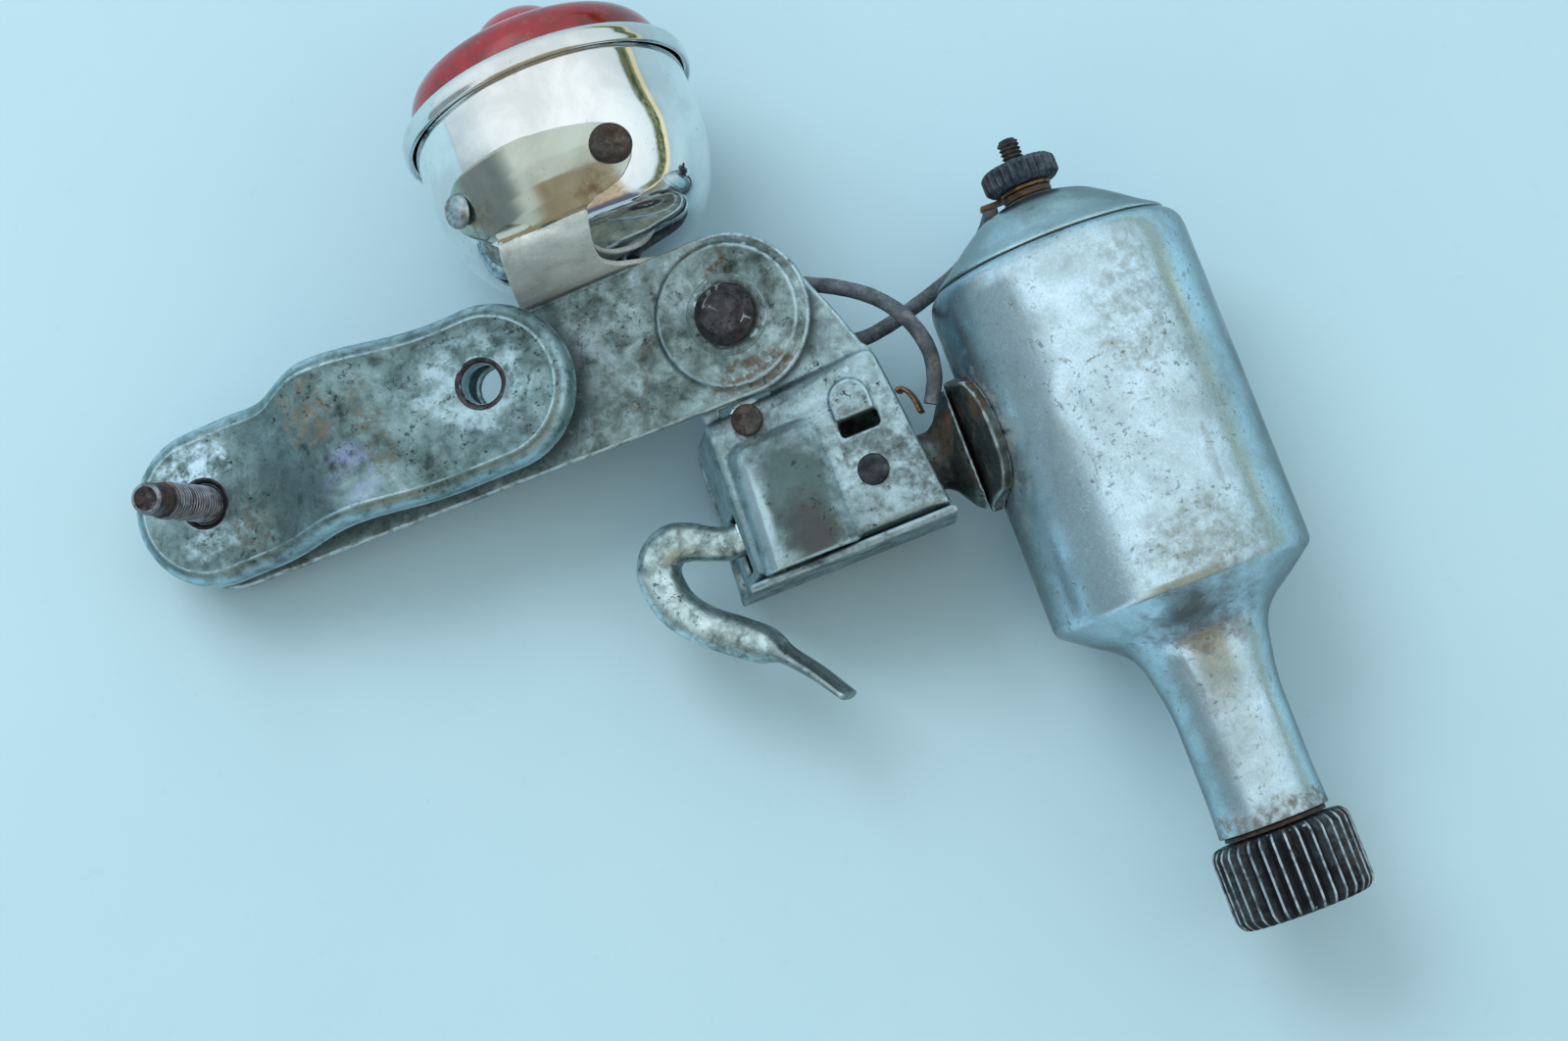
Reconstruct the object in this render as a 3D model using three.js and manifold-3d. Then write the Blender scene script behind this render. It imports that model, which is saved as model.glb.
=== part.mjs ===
// Bottle generator with a tail lamp on one frame-tube clamp bracket.
// Millimetres, +Z up. The set lies on its back on a table: the generator body, the lamp rim
// and the head of the clamp bolt rest on it.
import * as THREE from "three";
import { mergeVertices } from "three/addons/utils/BufferGeometryUtils.js";
import Module from "manifold-3d";

const wasm = await Module();
wasm.setup();

const { PI, cos, sin, sqrt, min, max, abs } = Math;
const V = (x, y, z) => new THREE.Vector3(x, y, z);
const root = new THREE.Group();

// ---------------------------------------------------------------- frames
const TILT = (13 * PI) / 180; // the bracket's slope, left end low
const PZ = 27.5; // height of the pivot bolt on the arm's middle plane
const BR = new THREE.Matrix4().makeRotationY(-TILT).setPosition(0, 0, PZ); // u, v, w of the bracket
const WORLD = new THREE.Matrix4();
const DIP = (8.4 * PI) / 180;
const LA = V(-0.0122 * cos(DIP), 0.9999 * cos(DIP), -sin(DIP)).normalize(); // lamp axis, towards the lens
const LC = V(-15.2, 42.3, 23.8); // centre of the lamp's rim
const LX = V(0, 0, 1).cross(LA).negate().normalize();
const LZ = V(0, 0, 0).crossVectors(LX, LA);
const LAMP = new THREE.Matrix4().makeBasis(LX, LA, LZ).setPosition(LC);
const DX = 51.7, DR = 21.4; // generator axis and radius
const DYN = new THREE.Matrix4().setPosition(DX, 0, DR);

// ---------------------------------------------------------------- solids
function solidFrom(position, index) {
  let vol = 0;
  for (let i = 0; i < index.length; i += 3) {
    const [a, b, c] = [index[i] * 3, index[i + 1] * 3, index[i + 2] * 3];
    vol +=
      position[a] * (position[b + 1] * position[c + 2] - position[b + 2] * position[c + 1]) -
      position[a + 1] * (position[b] * position[c + 2] - position[b + 2] * position[c]) +
      position[a + 2] * (position[b] * position[c + 1] - position[b + 1] * position[c]);
  }
  const tri = Uint32Array.from(index);
  if (vol < 0) for (let i = 0; i < tri.length; i += 3) [tri[i + 1], tri[i + 2]] = [tri[i + 2], tri[i + 1]];
  return new wasm.Manifold(
    new wasm.Mesh({ numProp: 3, vertProperties: Float32Array.from(position), triVerts: tri }),
  );
}
function solid(geometry) {
  const flat = geometry.index ? geometry.toNonIndexed() : geometry;
  const only = new THREE.BufferGeometry().setAttribute("position", flat.getAttribute("position"));
  const m = mergeVertices(only, 1e-4);
  const idx = [];
  for (let i = 0; i < m.index.count; i += 3) {
    const [a, b, c] = [m.index.getX(i), m.index.getX(i + 1), m.index.getX(i + 2)];
    if (a !== b && b !== c && a !== c) idx.push(a, b, c);
  }
  return solidFrom(m.attributes.position.array, idx);
}
function geometryOf(s) {
  const m = s.getMesh(), n = m.numProp, pos = new Float32Array(m.numVert * 3);
  for (let i = 0; i < m.numVert; i++) pos.set(m.vertProperties.subarray(i * n, i * n + 3), i * 3);
  const g = new THREE.BufferGeometry().setAttribute("position", new THREE.BufferAttribute(pos, 3));
  g.setIndex(new THREE.BufferAttribute(Uint32Array.from(m.triVerts), 1));
  return g;
}
const join = (...all) => all.reduce((a, b) => a.add(b));
const cut = (a, ...all) => all.reduce((x, y) => x.subtract(y), a);

const FIN = {
  zinc: { color: 0x7d8781, roughness: 0.5, metalness: 0.85 },
  bright: { color: 0xa4adaa, roughness: 0.4, metalness: 0.95 },
  chrome: { color: 0xd8dde0, roughness: 0.08, metalness: 1 },
  satin: { color: 0xb4b8b4, roughness: 0.3, metalness: 0.95 },
  rust: { color: 0x5a4234, roughness: 0.85, metalness: 0.2 },
  dark: { color: 0x2b2a2a, roughness: 0.6, metalness: 0.5 },
  lens: { color: 0xa01020, roughness: 0.15, metalness: 0 },
  rubber: { color: 0x4c545c, roughness: 0.7, metalness: 0 },
  copper: { color: 0x9a5a30, roughness: 0.45, metalness: 0.9 },
  brass: { color: 0x9c8650, roughness: 0.4, metalness: 0.9 },
  glass: { color: 0xd8e0e0, roughness: 0.05, metalness: 0 },
  phenolic: { color: 0x3a2a20, roughness: 0.6, metalness: 0 },
};
const made = new Map();
function put(name, s, finish, frame = WORLD) {
  const g = geometryOf(s).applyMatrix4(frame);
  g.computeVertexNormals();
  const mesh = new THREE.Mesh(g, new THREE.MeshStandardMaterial(FIN[finish]));
  mesh.name = name;
  root.add(mesh);
  made.set(name, mesh);
  return mesh;
}

// A block between two corners.
function block(x0, x1, y0, y1, z0, z1) {
  const g = new THREE.BoxGeometry(x1 - x0, y1 - y0, z1 - z0);
  g.translate((x0 + x1) / 2, (y0 + y1) / 2, (z0 + z1) / 2);
  return solid(g);
}
// A round bar from point p along the direction d.
function rod(p, d, r, h, n = 28, r2 = r) {
  const g = new THREE.CylinderGeometry(r2, r, h, n > 16 ? Math.round(n * 0.8) : n);
  g.translate(0, h / 2, 0);
  g.applyQuaternion(new THREE.Quaternion().setFromUnitVectors(V(0, 1, 0), d.clone().normalize()));
  g.translate(p.x, p.y, p.z);
  return solid(g);
}
// Turned solid about the Y axis: [r, y] points from axis to axis, or a loop off the axis.
function turned(points, n = 40) {
  const first = points[0], last = points[points.length - 1];
  const loop = first[0] > 1e-6 && last[0] > 1e-6;
  const pts = (loop ? [...points, first] : points).map(([r, y]) => new THREE.Vector2(max(r, 0), y));
  return solid(new THREE.LatheGeometry(pts, n > 12 ? Math.round(n * 0.8) : n));
}
// A flat sheet or block from an outline in x, y, between two heights, with holes.
function sheet(outline, z0, z1, holes = []) {
  const s = new THREE.Shape(outline.map(([x, y]) => new THREE.Vector2(x, y)));
  for (const h of holes) s.holes.push(new THREE.Path(h.map(([x, y]) => new THREE.Vector2(x, y))));
  const g = new THREE.ExtrudeGeometry(s, { depth: z1 - z0, bevelEnabled: false, curveSegments: 1 });
  g.translate(0, 0, z0);
  return solid(g);
}
const arc = (cx, cy, r, a0, a1, n) =>
  Array.from({ length: n + 1 }, (_, i) => {
    const a = ((a0 + ((a1 - a0) * i) / n) * PI) / 180;
    return [cx + r * cos(a), cy + r * sin(a)];
  });
const circle = (cx, cy, r, n = 28) => arc(cx, cy, r, 0, 360, n).slice(0, n);
// Rings of equal length joined one after the other, closed at both ends by a fan or by strips.
function loft(rings, caps = "fan") {
  const n = rings[0].length, pos = [], idx = [];
  for (const r of rings) for (const p of r) pos.push(p.x, p.y, p.z);
  for (let k = 0; k + 1 < rings.length; k++)
    for (let i = 0; i < n; i++) {
      const a = k * n + i, b = k * n + ((i + 1) % n), c = a + n, d = b + n;
      idx.push(a, b, d, a, d, c);
    }
  const cap = (base, flip) => {
    const t = [];
    if (caps === "fan") for (let i = 1; i + 1 < n; i++) t.push([0, i, i + 1]);
    else {
      const h = n / 2; // 0 and h are the ends, i pairs with n - i
      t.push([0, 1, n - 1]);
      for (let i = 1; i + 1 < h; i++) t.push([i, i + 1, n - i - 1], [i, n - i - 1, n - i]);
      t.push([h - 1, h, h + 1]);
    }
    for (const [a, b, c] of t) idx.push(base + a, base + (flip ? b : c), base + (flip ? c : b));
  };
  cap(0, false);
  cap((rings.length - 1) * n, true);
  return solidFrom(pos, idx);
}
// A bar swept along points, with an elliptical or super-elliptical section per point.
function swept(path, sizes, side, n = 14, power = 1) {
  const rings = path.map((p, i) => {
    const t = V(0, 0, 0).subVectors(path[min(i + 1, path.length - 1)], path[max(i - 1, 0)]).normalize();
    const b = side.clone().addScaledVector(t, -side.dot(t)).normalize();
    const a = V(0, 0, 0).crossVectors(b, t);
    const [wa, wb] = sizes[i];
    return Array.from({ length: n }, (_, k) => {
      const f = (2 * PI * (k + 0.5)) / n, c = cos(f), s = sin(f);
      const q = (x) => Math.sign(x) * abs(x) ** power;
      return p.clone().addScaledVector(a, (q(c) * wa) / 2).addScaledVector(b, (q(s) * wb) / 2);
    });
  });
  return loft(rings);
}
// A cord or a bent wire of one round section along a curve.
function wire(points, r, n = 8, steps = 40) {
  const curve = new THREE.CatmullRomCurve3(points, false, "centripetal");
  const s = new THREE.Shape(circle(0, 0, r, n).map(([x, y]) => new THREE.Vector2(x, y)));
  return solid(
    new THREE.ExtrudeGeometry(s, { steps, extrudePath: curve, bevelEnabled: false, curveSegments: 1 }),
  );
}
// A sheet of even thickness over a grid of surface points, rows by columns.
function slab(rows, thick) {
  const nr = rows.length, nc = rows[0].length, pos = [], idx = [];
  const at = (i, j) => rows[min(max(i, 0), nr - 1)][min(max(j, 0), nc - 1)];
  for (const side of [0, 1])
    for (let i = 0; i < nr; i++)
      for (let j = 0; j < nc; j++) {
        const p = at(i, j).clone();
        if (side) {
          const du = V(0, 0, 0).subVectors(at(i + 1, j), at(i - 1, j));
          const dv = V(0, 0, 0).subVectors(at(i, j + 1), at(i, j - 1));
          p.addScaledVector(du.cross(dv).normalize(), thick);
        }
        pos.push(p.x, p.y, p.z);
      }
  const o = nr * nc, f = (i, j) => i * nc + j;
  const quad = (a, b, c, d) => idx.push(a, b, c, a, c, d);
  for (let i = 0; i + 1 < nr; i++)
    for (let j = 0; j + 1 < nc; j++) {
      quad(f(i, j), f(i, j + 1), f(i + 1, j + 1), f(i + 1, j));
      quad(o + f(i, j), o + f(i + 1, j), o + f(i + 1, j + 1), o + f(i, j + 1));
    }
  for (let j = 0; j + 1 < nc; j++) {
    quad(f(0, j), o + f(0, j), o + f(0, j + 1), f(0, j + 1));
    quad(f(nr - 1, j + 1), o + f(nr - 1, j + 1), o + f(nr - 1, j), f(nr - 1, j));
  }
  for (let i = 0; i + 1 < nr; i++) {
    quad(f(i + 1, 0), o + f(i + 1, 0), o + f(i, 0), f(i, 0));
    quad(f(i, nc - 1), o + f(i, nc - 1), o + f(i + 1, nc - 1), f(i + 1, nc - 1));
  }
  return solidFrom(pos, idx);
}
const W = V(0, 0, 1), DOWN = V(0, 0, -1), UP = V(0, 1, 0);
const bump = (x, c, l, r) => {
  const t = x < c ? (c - x) / l : (x - c) / r;
  return t >= 1 ? 0 : 0.5 + 0.5 * cos(PI * t);
};

// ================================================================ clamp arm
const B1 = [-88.07, 2.8], B2 = [-38.7, 3.4]; // clamp bolt, empty hole
{
  const outline = [
    ...arc(0, 0, 13.1, -92, 90, 22),
    ...arc(-88.1, 1.3, 12.1, 92, 270, 16),
  ];
  let s = sheet(outline, -0.75, 0.75, [circle(...B1, 3.25, 24), circle(...B2, 3.25, 24), circle(0, 0, 3.2, 20)]);
  const ringPad = turned([[3.2, 0.7], [11.9, 0.7], [11.2, 1.55], [3.2, 1.55]], 36);
  s = join(s, solid(geometryOf(ringPad).applyMatrix4(new THREE.Matrix4().makeRotationX(PI / 2))));
  put("clamp_arm", s, "zinc", BR);
}
// ================================================================ clamp jaw
const JAW_W = 10.3, HUMP = 5;
const jawTop = (u) => JAW_W + HUMP * bump(u, -63.4, 17, 17);
function jawRing(d, h) {
  const CL = [-88.1, 2.3], RL = 12.7 - d, CR = [-38.0, 2.6], RR = 13.3 - d, up = [], lo = [];
  const K = 6, M = 18;
  for (let i = 0; i <= K; i++) {
    const a = (PI / 2) * (i / K);
    up.push([CL[0] - RL * cos(a), CL[1] + RL * sin(a)]);
    lo.push([CL[0] - RL * cos(a), CL[1] - RL * sin(a)]);
  }
  for (let i = 1; i < M; i++) {
    const f = i / M, u = CL[0] + (CR[0] - CL[0]) * f, c = CL[1] + (CR[1] - CL[1]) * f, r = RL + (RR - RL) * f;
    up.push([u, c + r + 2.0 * bump(u, -64.5, 9, 24) - 0.5 * bump(u, -75, 6, 5)]);
    lo.push([u, c - r + 0.9 * bump(u, -67, 14, 16)]);
  }
  for (let i = K; i >= 0; i--) {
    const a = (PI / 2) * (i / K);
    up.push([CR[0] + RR * cos(a), CR[1] + RR * sin(a)]);
    lo.push([CR[0] + RR * cos(a), CR[1] - RR * sin(a)]);
  }
  const all = [...up, ...lo.slice(1, -1).reverse()];
  return all.map(([u, v]) => V(u, v, jawTop(u) + h));
}
{
  const s = loft(
    [jawRing(3.4, -1.5), jawRing(2.0, -2.9), jawRing(1.45, -4.8), jawRing(0, -4.8), jawRing(0.15, -2.1), jawRing(0.8, -0.8), jawRing(2.2, 0)],
    "strips",
  );
  const collar = (c) => rod(V(c[0], c[1], JAW_W - 4), W, 4.3, 3.9, 24);
  const hole = (c, r) => rod(V(c[0], c[1], JAW_W - 8), W, r, 12, 24);
  const sink = (c) => rod(V(c[0], c[1], JAW_W - 0.5), W, 3.2, 1.2, 24, 5.0);
  put("clamp_jaw", cut(join(s, collar(B1), collar(B2)), hole(B1, 3.2), hole(B2, 3.2), sink(B1), sink(B2)), "zinc", BR);
}
// ================================================================ clamp bolt
{
  const top = JAW_W + 22.5;
  const hex = sheet(circle(B1[0], B1[1], 5.6, 6), -6.4, -2.4);
  const shank = rod(V(B1[0], B1[1], -2.5), W, 2.92, top - 6 + 2.5, 24);
  const dog = rod(V(B1[0], B1[1], top - 6.1), W, 2.5, 5.5, 24);
  const tip = rod(V(B1[0], B1[1], top - 0.7), W, 2.5, 0.7, 24, 2.1);
  put("clamp_bolt", join(hex, shank, dog, tip), "rust", BR);
  put("clamp_washer", sheet(circle(...B1, 5.9, 28), -2.3, -0.85, [circle(...B1, 3.2, 20)]), "bright", BR);
}
// ================================================================ pivot bolt through the boss
{
  const o = [0, 0];
  const head = join(rod(V(0, 0, 1.65), W, 4.85, 1.7, 28), rod(V(0, 0, 3.3), W, 4.85, 1.4, 28, 3.4));
  put("pivot_bolt", join(head, rod(V(0, 0, -11.5), W, 2.9, 13.5, 24)), "dark", BR);
  put("pivot_washer", sheet(circle(...o, 7.2, 28), -5.4, -4.1, [circle(...o, 3.05, 20)]), "bright", BR);
  put("pivot_nut", sheet(circle(0, 0, 5.7, 6), -10.2, -5.5, [circle(...o, 3.0, 20)]), "rust", BR);
}
// ================================================================ lamp
const shellOut = [[22.5, -0.6], [22.5, -4], [22.3, -13], [21.5, -17], [20.5, -20], [19.4, -22.3], [18.0, -24.2], [16.2, -25.6], [14, -26.4], [9, -26.9]];
{
  const inner = [...shellOut].reverse().map(([r, y], i) => (i === 0 ? [r, y + 0.8] : [r - 0.8, y + (y < -20 ? 0.6 : 0)]));
  const pts = [[0, -26.95], ...[...shellOut].reverse(), ...[...inner].reverse(), [0, -26.1]];
  let s = turned(pts, 36);
  s = cut(s, rod(V(3, -30, -13), UP, 3.15, 8, 18));
  put("lamp_shell", s, "chrome", LAMP);
  put("lamp_rim", turned([[22.75, -1.9], [23.6, -2.1], [24.0, -1.3], [23.95, 0.6], [23.3, 1.5], [21.45, 1.75], [21.35, 0.8], [22.75, 0.6]], 40), "chrome", LAMP);
  // lens: flange under the rim, straight side, rounded shoulder, raised centre
  put(
    "lens",
    turned(
      [[0, 17.3], [3.6, 16.7], [6.3, 15.0], [8.0, 12.8], [8.7, 10.6], [9.2, 9.9], [10.4, 9.6], [15.0, 9.3], [17.4, 8.8], [19.4, 7.6], [20.6, 5.6], [21.0, 3.5], [21.1, 0.5], [22.3, 0.4], [22.3, 0], [19.6, 0.45], [19.4, 3.2], [19.0, 4.9], [18.2, 6.1], [16.8, 7.1], [14.8, 7.7], [9.8, 8.0], [7.7, 8.7], [7.0, 10.2], [6.5, 12.2], [5.0, 14.0], [2.9, 15.2], [0, 15.7]].filter(
        (p, i, a) => !i || p[0] !== a[i - 1][0] || p[1] !== a[i - 1][1],
      ),
      36,
    ),
    "lens",
    LAMP,
  );
  put("bulb_socket", join(turned([[4.9, -26.0], [6.2, -26.0], [6.2, -12], [4.9, -12]], 24), turned([[0, -26.0], [5.5, -26.0], [5.5, -24.4], [0, -24.4]], 24)), "brass", LAMP);
  put("bulb_base", turned([[0, -22.6], [1.6, -22.6], [2, -21.4], [4.6, -20.6], [4.6, -9.6], [0, -9.6]], 24), "bright", LAMP);
  put("bulb_glass", turned([[0, -9.5], [3.4, -9.5], [3.6, -7.5], [5.0, -4.5], [5.4, -1.6], [4.8, 1.2], [3.1, 3.3], [0, 4.1]], 24), "glass", LAMP);
  put("contact_spring", turned([[0.9, -24.3], [1.5, -24.3], [1.5, -22.75], [0.9, -22.75]], 16), "brass", LAMP);
  put("lamp_grommet", rod(V(3, -28.6, -13), UP, 3.0, 4.2, 18), "rubber", LAMP);
}
// ================================================================ lamp bracket: ears over the shell, a strip down, a tongue behind the arm
const shellR = (d) => {
  for (let i = 1; i < shellOut.length; i++) {
    const [r0, y0] = shellOut[i - 1], [r1, y1] = shellOut[i];
    if (-d <= y0 && -d >= y1) return r0 + ((r1 - r0) * (y0 + d)) / (y0 - y1 || 1);
  }
  return shellOut[shellOut.length - 1][0];
};
function onShell(x, y, lift) {
  // height of the shell over (x, y), by walking down from above
  const inv = LAMP.clone().invert();
  let lo = 20, hi = 60;
  for (let k = 0; k < 40; k++) {
    const z = (lo + hi) / 2, p = V(x, y, z).applyMatrix4(inv);
    if (Math.hypot(p.x, p.z) > shellR(-p.y) + lift) hi = z;
    else lo = z;
  }
  return lo;
}
const wAt = (x, w) => PZ + x * Math.tan(TILT) + w / cos(TILT); // height where the bracket layer w passes x
{
  const cols = 9, rows = [];
  const row = (y, xl, xr, z) => {
    const r = [];
    for (let j = 0; j < cols; j++) {
      const x = xl + ((xr - xl) * j) / (cols - 1);
      r.push(V(x, y, z(x, y)));
    }
    rows.push(r);
  };
  const hug = (x, y) => onShell(x, y, 0.6);
  const arch = (yl, yr, xl, xr, rise) => {
    const r = [];
    for (let j = 0; j < cols; j++) {
      const t = j / (cols - 1), x = xl + (xr - xl) * t, y = yl + (yr - yl) * t + rise * (1 - (2 * t - 1) ** 2);
      r.push(V(x, y, hug(x, y)));
    }
    rows.push(r);
  };
  // top of the arch down to the fold; each row runs from its left height to its right height
  for (const [yl, yr, xl, xr, rise] of [
    [32.2, 31.5, -29.5, -11.5, 0.9], [31.6, 31.1, -32.0, -9.2, 1.0], [30.6, 30.2, -33.2, -7.3, 0.9], [29.2, 28.9, -34.0, -5.9, 0.6], [27.4, 27.3, -34.3, -5.5, 0.4],
    [25.8, 25.8, -34.0, -5.9, 0.2], [24.4, 24.4, -33.3, -6.7, 0.1], [23.2, 22.9, -32.2, -8.3, 0], [22.2, 21.8, -31.0, -10.8, 0], [21.3, 21.1, -30.0, -13.4, 0],
  ])
    arch(yl, yr, xl, xr, rise);
  row(20.6, -29.6, -14.9, (x) => max(hug(x, 20.6), 43.6));
  row(19.8, -29.7, -15.2, (x) => max(hug(x, 19.8), 43.3));
  row(18.9, -29.8, -15.5, () => 43.0);
  row(18.1, -30.0, -15.7, () => 41.9);
  row(17.4, -30.1, -15.9, () => 40.0);
  row(16.6, -30.2, -16.0, () => 36.9);
  row(15.9, -30.3, -15.9, () => 33.0);
  row(15.3, -30.3, -15.2, () => 29.4);
  row(14.8, -30.3, -13.2, (x) => wAt(x, 1.5));
  row(14.4, -30.2, -10.4, (x) => wAt(x, -0.9));
  row(13.7, -29.9, -7.2, (x) => wAt(x, -2.05));
  row(11.0, -29.0, -3.4, (x) => wAt(x, -2.15));
  row(7.0, -22.5, 3.2, (x) => wAt(x, -2.15));
  row(3.0, -15.0, 6.6, (x) => wAt(x, -2.15));
  row(-1.5, -10.5, 7.4, (x) => wAt(x, -2.15));
  row(-5.5, -8.2, 5.4, (x) => wAt(x, -2.15));
  row(-7.6, -6.0, 2.4, (x) => wAt(x, -2.15));
  let s;
  const up = slab(rows.map((r) => r.map((p) => p.clone())), 1.0), dn = slab(rows.map((r) => [...r].reverse()), 1.0);
  // the ears lie over the shell, the tongue under the arm: keep whichever side grows away from both
  s = up.boundingBox().max[2] > dn.boundingBox().max[2] ? up : dn;
  const boltHole = solid(geometryOf(rod(V(0, 0, -12), W, 3.15, 24, 20)).applyMatrix4(BR));
  s = cut(s, boltHole);
  put("lamp_bracket", s, "satin");
}
// rivet and screw through the ears, square to the shell
function stud(name, x, y, r, h, finish) {
  const z = onShell(x, y, 0), inner = V(x, y, z).applyMatrix4(LAMP.clone().invert());
  const out = V(inner.x, 0, inner.z).normalize().transformDirection(LAMP);
  const m = new THREE.Matrix4().makeRotationFromQuaternion(new THREE.Quaternion().setFromUnitVectors(UP, out));
  m.setPosition(V(x, y, z).addScaledVector(out, 2.4));
  put(name, turned([[0, 0], [r, 0], [r * 0.93, h * 0.45], [r * 0.6, h * 0.85], [0, h]], 20), finish, m);
}
stud("lamp_rivet_left", -32.1, 27.3, 2.7, 0.95, "bright");
stud("lamp_screw_right", -8.9, 27.0, 3.3, 1.1, "rust");

// ================================================================ housing of the spring hinge
const rounded = (c, w, radius) => {
  const out = [];
  c.forEach(([x, y], k) => {
    const p = c[(k + c.length - 1) % c.length], q = c[(k + 1) % c.length];
    const a = V(p[0] - x, p[1] - y, 0).normalize(), b = V(q[0] - x, q[1] - y, 0).normalize(), r = radius(k);
    for (const t of [0, 0.5, 1]) {
      const e = a.clone().multiplyScalar((1 - t) ** 2 * r).addScaledVector(b, t ** 2 * r);
      out.push(V(x + e.x, y + e.y, w));
    }
  });
  return out;
};
const boxRing = (w, dl, dr, i, bottom = 0) => {
  const c = [
    [-10.6, -14.6], [-1.0, -13.9], [4.0, -13.5], [9.0, -13.1], [12.5, -12.9], [16.0, -12.6], [19.0, -12.7], [19.6, -17.5], [22.0, -40.2], [-11.0, -40.2],
  ].map(([x, y]) => {
    const t = (x + 11) / 33, mx = 5.2, my = -27;
    return [mx + (x - mx) * (1 - i / 15.6) - dl * (1 - t) + dr * t, my + (y - my) * (1 - i / 13.2) - (y < my ? bottom : 0)];
  });
  return rounded(c, w, (k) => (k === 0 || k === 6 ? 1.4 : k > 7 ? 0.5 : 0.8));
};
// the raised face: it arches over the tab and keeps a ridge along its right edge
const faceRing = (w, i) =>
  rounded(
    [
      [-10.0, -16.6], [-0.9, -16.4], [3.8, -15.6], [8.5, -14.7], [11.9, -14.2], [14.5, -14.7], [16.6, -16.6], [17.9, -19.7], [19.4, -39.4], [-10.2, -39.4],
    ].map(([x, y]) => [5 + (x - 5) * (1 - i / 15), -27 + (y + 27) * (1 - i / 12.6)]),
    w,
    (k) => (k > 7 ? 0.5 : 0.8),
  );
const pillow = (grow, base, top, y0 = -40.35) => {
  const ring = (i, w) => {
    const [x0, x1, y1] = [-8.3 - grow + i, 6.6 + grow - i, -19.4 + grow - i], r = 2.7, out = [];
    for (const [cx, cy, a] of [[x1 - r, y1 - r, 0], [x0 + r, y1 - r, 90]]) for (const p of arc(cx, cy, r, a, a + 90, 5)) out.push(V(p[0], p[1], w));
    out.push(V(x0 - 0.9, y0, w), V(x1, y0, w));
    return out;
  };
  return loft([ring(-0.4, base), ring(0, base + 0.35 * (top - base)), ring(1.2, base + 0.8 * (top - base)), ring(2.6, top)]);
};
const SP = [1.7, -8.3]; // hinge spindle in u, w
{
  const outer = loft([boxRing(-17, 5.4, -2.9, 0), boxRing(-2.4, 0.3, -0.1, 0), boxRing(-1.7, 0, 0, 0.35), faceRing(-0.95, 0), faceRing(-0.75, 0.5)]);
  const inner = loft([boxRing(-18, 5.7, -3.1, 1.2, 4), boxRing(-3.2, 0.5, -0.2, 1.2, 4), boxRing(-2.5, 0.1, 0, 2.0, 4)]);
  const plate = sheet(
    [...arc(0, 0, 12.9, 7, 200, 20), [-10.6, -12.5], [-10.3, -15.4], [-4, -15.2], [18.0, -13.6], [18.9, -13.0], [17.6, -11.4], [15.7, -5.5]],
    -3.9, -2.5, [circle(0, 0, 3.2, 20)],
  );
  let s = join(outer, plate, pillow(0, -1.2, 1.5));
  s = cut(s, inner, pillow(-1.2, -2.6, 0.4, -45));
  // lanced tab
  const tab = sheet([...arc(13.0, -19.3, 3.2, 0, 180, 12), [9.8, -22.0], [16.2, -22.0]], -1.0, 0.1);
  s = join(s, tab);
  s = cut(s, block(9.7, 16.3, -24.7, -22.1, -4, 2));
  // way out for the yoke, for the lever, and holes for the rivets
  s = cut(s, block(15.5, 26, -38.4, -26.0, -16.7, -2.5), block(-20, -8, -38.4, -28.9, -12.2, -2.6), block(-7.6, 1.6, -17.5, -12.8, -8.2, -2.7));
  s = cut(s, rod(V(-3.26, -16.3, -6), W, 1.8, 12, 16), rod(V(12.6, -30.9, -3), W, 1.7, 6, 16));
  put("housing_cover", s, "bright", BR);
  const floor = loft([[[-18.0, -41.9], [19.4, -41.9], [19.5, -40.5], [-18.0, -40.5]].map(([x, y]) => V(x, y, -18.4)), [[-12.4, -41.9], [22.7, -41.9], [22.8, -40.5], [-12.4, -40.5]].map(([x, y]) => V(x, y, -0.5))]);
  const back = sheet([[-18.0, -41.9], [19.3, -41.9], [16.3, -14.0], [-16.4, -16.4]], -18.4, -17.15);
  put("housing_back", join(floor, back), "zinc", BR);
  put("lever_rivet", join(rod(V(-3.26, -16.3, -0.7), W, 2.5, 0.6, 20), rod(V(-3.26, -16.3, -0.12), W, 2.5, 0.45, 20, 1.9), rod(V(-3.26, -16.3, -6.3), W, 1.6, 5.8, 16), rod(V(-3.26, -16.3, -7.1), W, 2.4, 1.0, 16)), "rust", BR);
  put("cover_rivet", join(rod(V(12.6, -30.9, -0.7), W, 2.5, 0.45, 20), rod(V(12.6, -30.9, -2.6), W, 1.5, 2.2, 16), rod(V(12.6, -30.9, -3.4), W, 2.3, 0.8, 16)), "zinc", BR);
  put("hinge_spindle", join(rod(V(SP[0], -40.3, SP[1]), UP, 2.5, 23.5, 24), rod(V(SP[0], -40.3, SP[1]), UP, 3.6, 1.5, 24)), "zinc", BR);
  // torsion spring round the spindle
  const turns = 4, pts = [];
  for (let i = 0; i <= turns * 14; i++) {
    const a = (2 * PI * i) / 14 + 0.4;
    pts.push(V(SP[0] + 4.0 * cos(a), -26.1 + (i / (turns * 14)) * 5.4, SP[1] + 4.0 * sin(a)));
  }
  put("torsion_spring", wire(pts, 0.58, 5, turns * 13), "dark", BR);
}
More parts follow.
